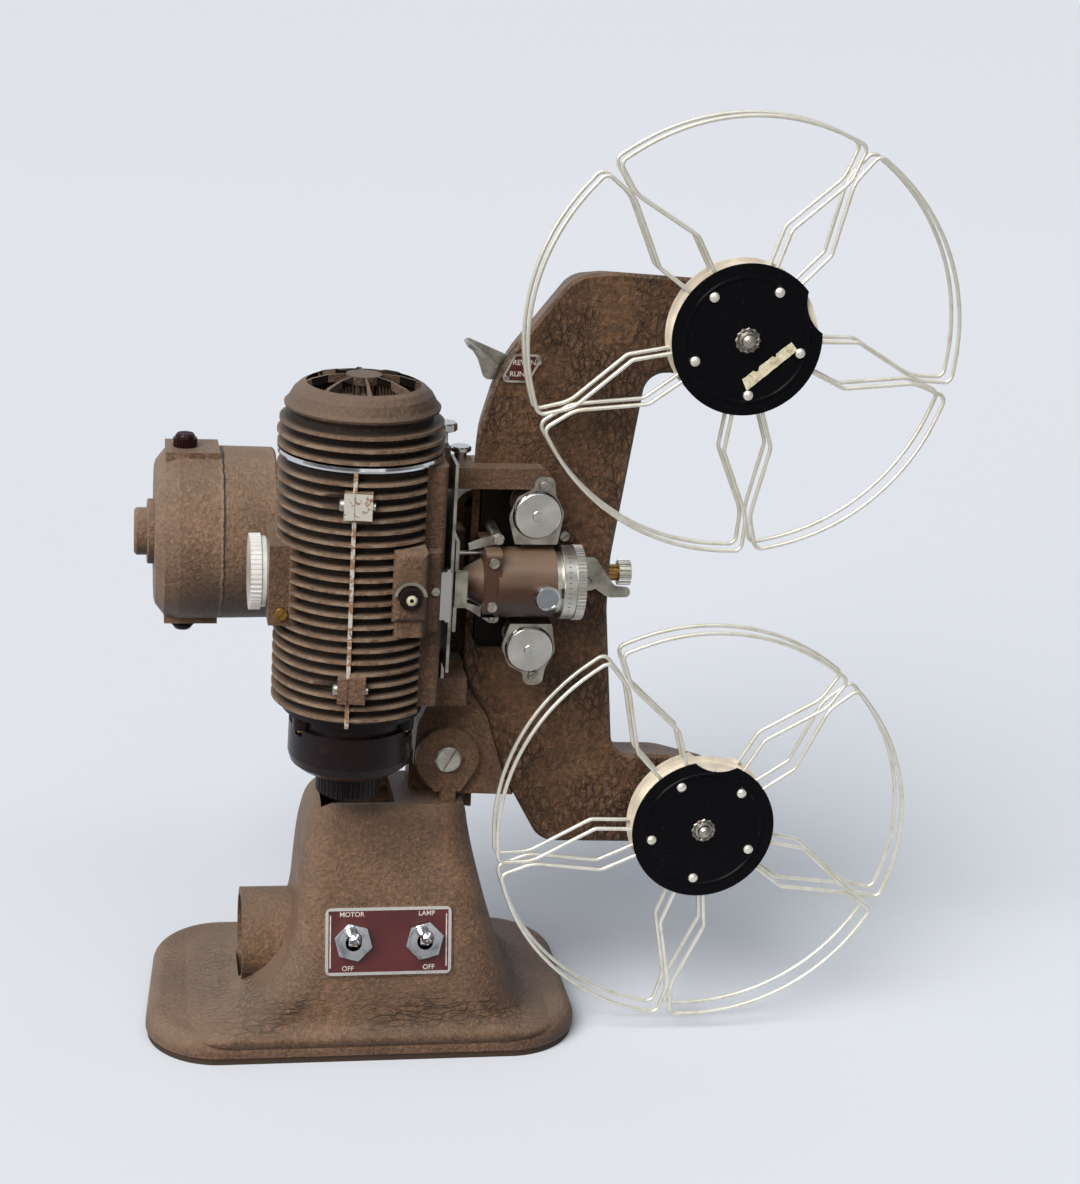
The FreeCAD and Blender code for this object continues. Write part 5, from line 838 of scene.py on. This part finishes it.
def strip(name, left, right, front, depth):
    """Closed mesh between two rows of (x, z) points in millimetres, depth thick from y = front."""
    shape = bmesh.new()
    rows = [[shape.verts.new((x * MM, y, z * MM))
             for (x, z), y in ((a, front), (b, front), (b, front + depth), (a, front + depth))]
            for a, b in zip(left, right)]
    for first, second in zip(rows, rows[1:]):
        for k in range(4):
            shape.faces.new((first[k], first[(k + 1) % 4], second[(k + 1) % 4], second[k]))
    shape.faces.new(rows[0])
    shape.faces.new(rows[-1][::-1])
    bmesh.ops.recalc_face_normals(shape, faces=shape.faces)
    mesh = bpy.data.meshes.new(name)
    shape.to_mesh(mesh)
    shape.free()
    return mesh


def slab(width, height, thickness):
    """Thin bar with bevelled edges as a mesh, centred, lying in local X-Y."""
    shape = bmesh.new()
    bmesh.ops.create_cube(shape, size=1.0)
    bmesh.ops.scale(shape, vec=(width, height, thickness), verts=shape.verts)
    bmesh.ops.bevel(shape, geom=shape.edges[:], offset=thickness * 0.3, segments=1, affect="EDGES")
    mesh = bpy.data.meshes.new("slab")
    shape.to_mesh(mesh)
    shape.free()
    return mesh


PLATE_SLOPE = 0.29        # how far the switch plate leans back for each unit of height
FIELD_DEPTH = 0.3 * MM    # from the middle of a plate out to its enamelled field

# Words on the two plates with their places in millimetres
SWITCH_WORDS = (("MOTOR", -15.4, 11.3), ("LAMP", 16.0, 11.3), ("OFF", -17.0, -11.4), ("OFF", 17.0, -11.4))
REWIND_WORDS = (("REWIND", 57.4, 293.9), ("RUN", 53.6, 289.2))


def plate_matrix():
    """Placement of the switch plate: local X-Y is its face, local +Z points out of it."""
    lean = math.atan(PLATE_SLOPE)
    return Matrix.Translation(node_middle("nameplate")) @ Matrix.Rotation(math.pi / 2 - lean, 4, "X")


class PROJECTOR_OT_switch_plate(bpy.types.Operator):
    """Enamel the switch plate and print its legends"""
    bl_idname = "projector.switch_plate"
    bl_label = "Switch plate"

    def execute(self, context):
        trim = context.scene.projector_trim
        plate = plate_matrix()
        back = plate.inverted()
        maroon = smooth_enamel("maroon enamel", finish_values().plate_maroon, 0.28)
        rim = plated_metal("bright rim", "#e6e4df", 0.22, 0.36, "#b8b4ac", 0.2)
        paint("nameplate", rim, [(maroon, lambda p, n: abs((back @ (p * MM)).z - FIELD_DEPTH) < 0.05 * MM)])
        face = FIELD_DEPTH + trim.ink_thickness / 2
        bits = [(lettering(words, trim.legend_height, trim.ink_thickness),
                 plate @ Matrix.Translation((x * MM, y * MM, face))) for words, x, y in SWITCH_WORDS]
        line_place, line_width, line_height = 24.4 * MM, 0.5 * MM, 22.2 * MM
        bits += [(slab(line_width, line_height, trim.ink_thickness),
                  plate @ Matrix.Translation((side * line_place, 0, face))) for side in (-1, 1)]
        gathered("switch_legends", bits, printed_ink("silver ink", "#d9d2cb"), "base")
        return {"FINISHED"}


class PROJECTOR_OT_rewind_plate(bpy.types.Operator):
    """Enamel the rewind plate and print its two words"""
    bl_idname = "projector.rewind_plate"
    bl_label = "Rewind plate"

    def execute(self, context):
        trim = context.scene.projector_trim
        maroon = smooth_enamel("rewind plate enamel", finish_values().plate_maroon, 0.28)
        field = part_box("rewind_plate")[0].y + FIELD_DEPTH
        paint("rewind_plate", nickel(), [(maroon, lambda p, n: abs(p.y * MM - field) < 0.06 * MM)])
        face = field - trim.ink_thickness / 2
        stand = Matrix.Rotation(math.pi / 2, 4, "X")
        bits = [(lettering(words, trim.rewind_height, trim.ink_thickness),
                 Matrix.Translation((x * MM, face, z * MM)) @ stand) for words, x, z in REWIND_WORDS]
        ink = printed_ink("rewind plate ink", "#d9d2cb")
        gathered("rewind_legends", bits, ink, "head")
        return {"FINISHED"}


# Edges of the gap between the lamp bracket and the spine, as (x, z) in millimetres, where a strip of painted
# shade lies
BRACKET_EDGE = ((38.1, 166.4), (38.1, 162.2), (41.8, 153.2), (49.5, 142.0), (57.7, 116.0), (62.5, 106.4))
SPINE_EDGE = ((38.7, 166.4), (39.9, 162.2), (42.3, 153.2), (50.1, 142.0), (58.3, 116.2), (63.1, 106.4))


class PROJECTOR_OT_gap_shade(bpy.types.Operator):
    """Lay a near-black strip of painted shade in the narrow gap between the lamp bracket and the spine"""
    bl_idname = "projector.joint_paint"
    bl_label = "Gap shade"

    def execute(self, context):
        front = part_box("spine_casting")[0].y + 4.5 * MM
        mesh = strip("joint_paint", BRACKET_EDGE, SPINE_EDGE, front, 0.6 * MM)
        # near-black painted shade for the gap
        dark = smooth_enamel("painted gap shade", "#1d120b", 0.6, 0.1)
        gathered("joint_paint", [(mesh, Matrix.Identity(4))], dark, "head")
        return {"FINISHED"}


# Ends of the long edges of the worn tape, as (x, z) in millimetres
TAPE_UPPER = ((141.3, 293.5), (160.1, 309.0))
TAPE_LOWER = ((143.8, 288.3), (163.3, 305.5))
TAPE_STEPS = 26


def torn_edges(step):
    """Lower and upper edge point of the tape at one step: frayed, with two notches torn in the upper edge."""
    along = step / TAPE_STEPS
    fray = 0.5 * abs(0.30 * math.sin(step * 2.1) + 0.22 * math.sin(step * 5.3 + 1.0))
    notch = 1.1 if step in (7, 8, 17) else 0.0
    lower = Vector(TAPE_LOWER[0]).lerp(Vector(TAPE_LOWER[1]), along)
    upper = Vector(TAPE_UPPER[0]).lerp(Vector(TAPE_UPPER[1]), along)
    across = (upper - lower).normalized()
    return lower + across * (0.3 + fray), upper - across * (notch + fray)


class PROJECTOR_OT_hub_tape(bpy.types.Operator):
    """Lay the worn strip of paper tape on the upper hub disc"""
    bl_idname = "projector.hub_tape"
    bl_label = "Hub tape"

    def execute(self, context):
        thickness = context.scene.projector_trim.tape_thickness
        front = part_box("upper_reel_plates")[0].y - thickness - 0.02 * MM
        lower, upper = zip(*[torn_edges(step) for step in range(TAPE_STEPS + 1)])
        mesh = strip("hub_tape", lower, upper, front, thickness)
        paper = paper_tape("old paper tape")
        gathered("hub_tape", [(mesh, Matrix.Identity(4))], paper, "upper_reel")
        return {"FINISHED"}


def ring_tree(name, material):
    """Geometry Nodes tree: one small wedge repeated round the local Z axis."""
    tree = bpy.data.node_groups.new(name, "GeometryNodeTree")
    tree.interface.new_socket("Count", in_out="INPUT", socket_type="NodeSocketInt")
    for label in ("Ring radius", "Length", "Width", "Thickness"):
        tree.interface.new_socket(label, in_out="INPUT", socket_type="NodeSocketFloat")
    tree.interface.new_socket("Geometry", in_out="OUTPUT", socket_type="NodeSocketGeometry")
    given = tree.nodes.new("NodeGroupInput").outputs
    ring = add(tree, "GeometryNodeMeshCircle", {"Vertices": given["Count"], "Radius": given["Ring radius"]})
    size = add(tree, "CombineXYZ", (given["Length"], given["Width"], given["Thickness"]))
    wedge = add(tree, "GeometryNodeMeshCone", {
        "Vertices": 4, "Radius Top": 0.35, "Radius Bottom": 0.71, "Depth": 1.0}, "Mesh")
    place = add(tree, "GeometryNodeInputPosition")
    turn = add(tree, "FunctionNodeAlignRotationToVector", {"Vector": place}, axis="X")
    spread = add(tree, "GeometryNodeInstanceOnPoints", {
        "Points": ring, "Instance": wedge, "Rotation": turn, "Scale": size})
    real = add(tree, "GeometryNodeRealizeInstances", {"Geometry": spread})
    done = add(tree, "GeometryNodeSetMaterial", {"Geometry": real, "Material": material})
    feed(tree.nodes.new("NodeGroupOutput"), {"Geometry": done})
    return tree


def ring_mesh(tree, **sizes):
    """Plain mesh that the ring tree gives for these sizes, which are named like its inputs."""
    thing = bpy.data.objects.new("ring seed", bpy.data.meshes.new("ring seed"))
    bpy.context.scene.collection.objects.link(thing)
    modifier = thing.modifiers.new("ring", "NODES")
    modifier.node_group = tree
    for item in tree.interface.items_tree:
        if item.item_type == "SOCKET" and item.in_out == "INPUT":
            modifier[item.identifier] = sizes[item.name.lower().replace(" ", "_")]
    thing.update_tag()
    bpy.context.view_layer.update()
    mesh = bpy.data.meshes.new_from_object(thing.evaluated_get(bpy.context.evaluated_depsgraph_get()))
    thing.modifiers.remove(modifier)
    bpy.data.objects.remove(thing)
    return mesh


class PROJECTOR_OT_hub_stars(bpy.types.Operator):
    """Press the ring of small teeth round the spindle hole of each reel"""
    bl_idname = "projector.hub_stars"
    bl_label = "Hub stars"

    def execute(self, context):
        dull = plated_metal("dull nickel", "#8d8780", 0.34, 0.50, "#4f4a42", 0.5)
        tree = ring_tree("hub star", dull)
        stand = Matrix.Rotation(math.pi / 2, 4, "X")
        for side in ("upper", "lower"):
            spot = node_middle(side + "_spindle")
            spot.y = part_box(side + "_reel_plates")[0].y - 0.2 * MM
            teeth = ring_mesh(tree, count=context.scene.projector_trim.star_teeth, ring_radius=4.4 * MM,
                              length=1.4 * MM, width=2.4 * MM, thickness=0.4 * MM)
            gathered(side + "_hub_star", [(teeth, Matrix.Translation(spot) @ stand)], dull, side + "_reel")
        return {"FINISHED"}


class PROJECTOR_OT_lens_scale(bpy.types.Operator):
    """Cut the ring of scale lines round the lens band"""
    bl_idname = "projector.lens_scale"
    bl_label = "Lens scale"

    def execute(self, context):
        filled = printed_ink("black filled line", "#24211f")
        spot = node_middle("lens_tube")
        spot.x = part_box("lens_tube")[1].x - 7.2 * MM
        lines = ring_mesh(ring_tree("lens scale", filled), count=context.scene.projector_trim.scale_marks,
                          ring_radius=15.1 * MM, length=0.16 * MM, width=0.24 * MM, thickness=1.2 * MM)
        upright = Matrix.Rotation(math.pi / 2, 4, "Y")
        gathered("lens_scale", [(lines, Matrix.Translation(spot) @ upright)], filled, "lens")
        return {"FINISHED"}


# Soft panels that give the metal something bright to reflect: name, place, size, power and colour
PANELS = (("left panel", (-1.3, -1.2, 1.0), (0.5, 1.2), 3.0, "#fffaf4"),
          ("high panel", (0.3, -0.9, 1.7), (1.0, 0.4), 3.0, "#ffffff"),
          ("front panel", (0.45, -2.5, 0.75), (1.6, 0.9), 4.0, "#ffffff"))
PANEL_AIM = (0.07, 0.0, 0.18)


def placed(name, data):
    """New object in the scene."""
    thing = bpy.data.objects.new(name, data)
    bpy.context.scene.collection.objects.link(thing)
    return thing


def lamp_panel(name, place, size, power, tint):
    """Soft rectangular lamp at place, shining at the middle of the projector."""
    data = bpy.data.lights.new(name, "AREA")
    data.shape = "RECTANGLE"
    data.size, data.size_y = size
    data.energy = power
    data.color = linear(tint)[:3]
    thing = placed(name, data)
    thing.location = place
    thing.rotation_euler = (Vector(PANEL_AIM) - Vector(place)).to_track_quat("-Z", "Y").to_euler()


def key_light(stage):
    """Wide soft daylight from the upper left, even over the whole floor."""
    data = bpy.data.lights.new("key light", "SUN")
    data.energy = stage.key
    data.angle = stage.key_spread
    data.color = linear("#fffaf3")[:3]
    placed("key light", data).rotation_euler = Vector(stage.key_from).to_track_quat("Z", "Y").to_euler()


def seen_directly(tree):
    """The node's light path and whether a ray comes from the camera, or passed only through glass."""
    path = add(tree, "LightPath").node.outputs
    seen = add(tree, "Math", (path["Is Camera Ray"], path["Is Transmission Ray"]), operation="MAXIMUM")
    return path, seen


def paper_material(code):
    """Seamless paper, matt and evenly pale to the camera.

    It throws less light back up than it shows, and in reflections it fades into the dark room
    that begins in front of the object.
    """
    bounce, far = "#55504b", "#a09e9a"
    material, tree, shader, place = blank("seamless paper")
    path, seen = seen_directly(tree)
    depth = add(tree, "SeparateXYZ", (place,), "Y")
    fade = add(tree, "MapRange", (depth, -0.40, -0.12))
    shown = add(tree, "Mix", {0: fade, 6: linear(far), 7: linear(code)}, **COLOURS)
    brighter = add(tree, "MapRange", (depth, 0.1, 1.6))
    sheet = add(tree, "Mix", {0: brighter, 6: linear(code), 7: linear(shade(code, 1.036))}, **COLOURS)
    mirrored = add(tree, "Mix", {0: path["Is Glossy Ray"], 6: linear(bounce), 7: shown}, **COLOURS)
    feed(shader, {"Base Color": add(tree, "Mix", {0: seen, 6: mirrored, 7: sheet}, **COLOURS),
                  "Roughness": 0.95, "Specular IOR Level": 0.1})
    return material


def studio_world(stage):
    """Even pale backdrop for the camera, and a dimmer room around it.

    Mirror-like surfaces show the backdrop in front of the camera and the darker room behind it.
    """
    world = bpy.data.worlds.new("studio")
    world.use_nodes = True
    tree = world.node_tree
    tree.nodes.clear()
    path, seen = seen_directly(tree)
    way = add(tree, "SeparateXYZ", (add(tree, "TexCoord", output="Generated"),)).node.outputs
    ahead = add(tree, "MapRange", (way["Y"], -0.5, 0.4, 0.16, 0.85))
    above = add(tree, "MapRange", (way["Z"], 0.1, 0.9, 0.0, 0.45))
    mirrored = add(tree, "Math", (ahead, above), operation="MAXIMUM")
    overhead = add(tree, "MapRange", (way["Z"], 0.0, 1.0, 0.5 * stage.fill, 1.6 * stage.fill))
    room = add(tree, "Background", (linear("#f2f4f8"), overhead))
    shown = add(tree, "Background", (linear(stage.backdrop), mirrored))
    pale = add(tree, "Background", (linear(stage.backdrop), 1.0))
    around = add(tree, "MixShader", (path["Is Glossy Ray"], room, shown))
    feed(tree.nodes.new("ShaderNodeOutputWorld"), {"Surface": add(tree, "MixShader", (seen, around, pale))})
    return world


def camera_matrix(stage):
    """Place and turn of the camera from its yaw, pitch and roll."""
    yaw, pitch, roll = stage.camera_yaw, stage.camera_pitch, stage.camera_roll
    ahead = Vector((math.sin(yaw) * math.cos(pitch), math.cos(yaw) * math.cos(pitch), math.sin(pitch)))
    level = Vector((math.cos(yaw), -math.sin(yaw), 0))
    above = level.cross(ahead)
    right = level * math.cos(roll) + above * math.sin(roll)
    up = above * math.cos(roll) - level * math.sin(roll)
    return Matrix.Translation(stage.camera_place) @ Matrix((right, up, -ahead)).transposed().to_4x4()


class PROJECTOR_OT_stage(bpy.types.Operator):
    """Set up the floor, the backdrop, the light and the camera"""
    bl_idname = "projector.stage"
    bl_label = "Stage"

    def execute(self, context):
        scene = context.scene
        stage = scene.projector_stage
        reach = stage.floor_reach
        mesh = bpy.data.meshes.new("floor")
        corners = [(x * reach, y * reach, 0) for x, y in ((-1, -1), (1, -1), (1, 1), (-1, 1))]
        mesh.from_pydata(corners, [], [(0, 1, 2, 3)])
        mesh.materials.append(paper_material(stage.paper))
        placed("floor", mesh)
        scene.world = studio_world(stage)
        key_light(stage)
        for panel in PANELS:
            lamp_panel(*panel)
        camera = placed("camera", bpy.data.cameras.new("camera"))
        camera.data.sensor_fit = "AUTO"
        camera.data.sensor_width = 36.0
        camera.data.lens = stage.focal_length
        camera.data.clip_end = 200.0
        camera.matrix_world = camera_matrix(stage)
        scene.camera = camera
        scene.view_settings.view_transform = "Standard"
        return {"FINISHED"}


class PROJECTOR_PT_panel(bpy.types.Panel):
    """Lists the steps in the order in which they run"""
    bl_idname = "PROJECTOR_PT_panel"
    bl_label = "Projector"
    bl_space_type = "VIEW_3D"
    bl_region_type = "UI"
    bl_category = "Projector"

    def draw(self, context):
        for step in STEPS:
            self.layout.operator(step.bl_idname)
        scene = context.scene
        for group in (scene.projector_finish, scene.projector_trim, scene.projector_stage):
            box = self.layout.box()
            for name in group.__annotations__:
                box.prop(group, name)


STEPS = (PROJECTOR_OT_castings, PROJECTOR_OT_lamp_house, PROJECTOR_OT_pivot, PROJECTOR_OT_mouldings,
         PROJECTOR_OT_windings, PROJECTOR_OT_bright_work, PROJECTOR_OT_turned_work, PROJECTOR_OT_optics,
         PROJECTOR_OT_reels, PROJECTOR_OT_switch_plate, PROJECTOR_OT_rewind_plate, PROJECTOR_OT_gap_shade,
         PROJECTOR_OT_hub_tape, PROJECTOR_OT_hub_stars, PROJECTOR_OT_lens_scale, PROJECTOR_OT_stage)
GROUPS = (PROJECTOR_PG_finish, PROJECTOR_PG_trim, PROJECTOR_PG_stage)


def register():
    for part in GROUPS + STEPS + (PROJECTOR_PT_panel,):
        bpy.utils.register_class(part)
    bpy.types.Scene.projector_finish = bpy.props.PointerProperty(type=PROJECTOR_PG_finish)
    bpy.types.Scene.projector_trim = bpy.props.PointerProperty(type=PROJECTOR_PG_trim)
    bpy.types.Scene.projector_stage = bpy.props.PointerProperty(type=PROJECTOR_PG_stage)


def unregister():
    del bpy.types.Scene.projector_stage
    del bpy.types.Scene.projector_trim
    del bpy.types.Scene.projector_finish
    for part in reversed(GROUPS + STEPS + (PROJECTOR_PT_panel,)):
        bpy.utils.unregister_class(part)


def main():
    register()
    bpy.ops.projector.castings()
    bpy.ops.projector.lamp_house()
    bpy.ops.projector.pivot()
    bpy.ops.projector.mouldings()
    bpy.ops.projector.windings()
    bpy.ops.projector.bright_work()
    bpy.ops.projector.turned_work()
    bpy.ops.projector.optics()
    bpy.ops.projector.reels()
    bpy.ops.projector.switch_plate()
    bpy.ops.projector.rewind_plate()
    bpy.ops.projector.joint_paint()
    bpy.ops.projector.hub_tape()
    bpy.ops.projector.hub_stars()
    bpy.ops.projector.lens_scale()
    bpy.ops.projector.stage()


if __name__ == "__main__":
    main()
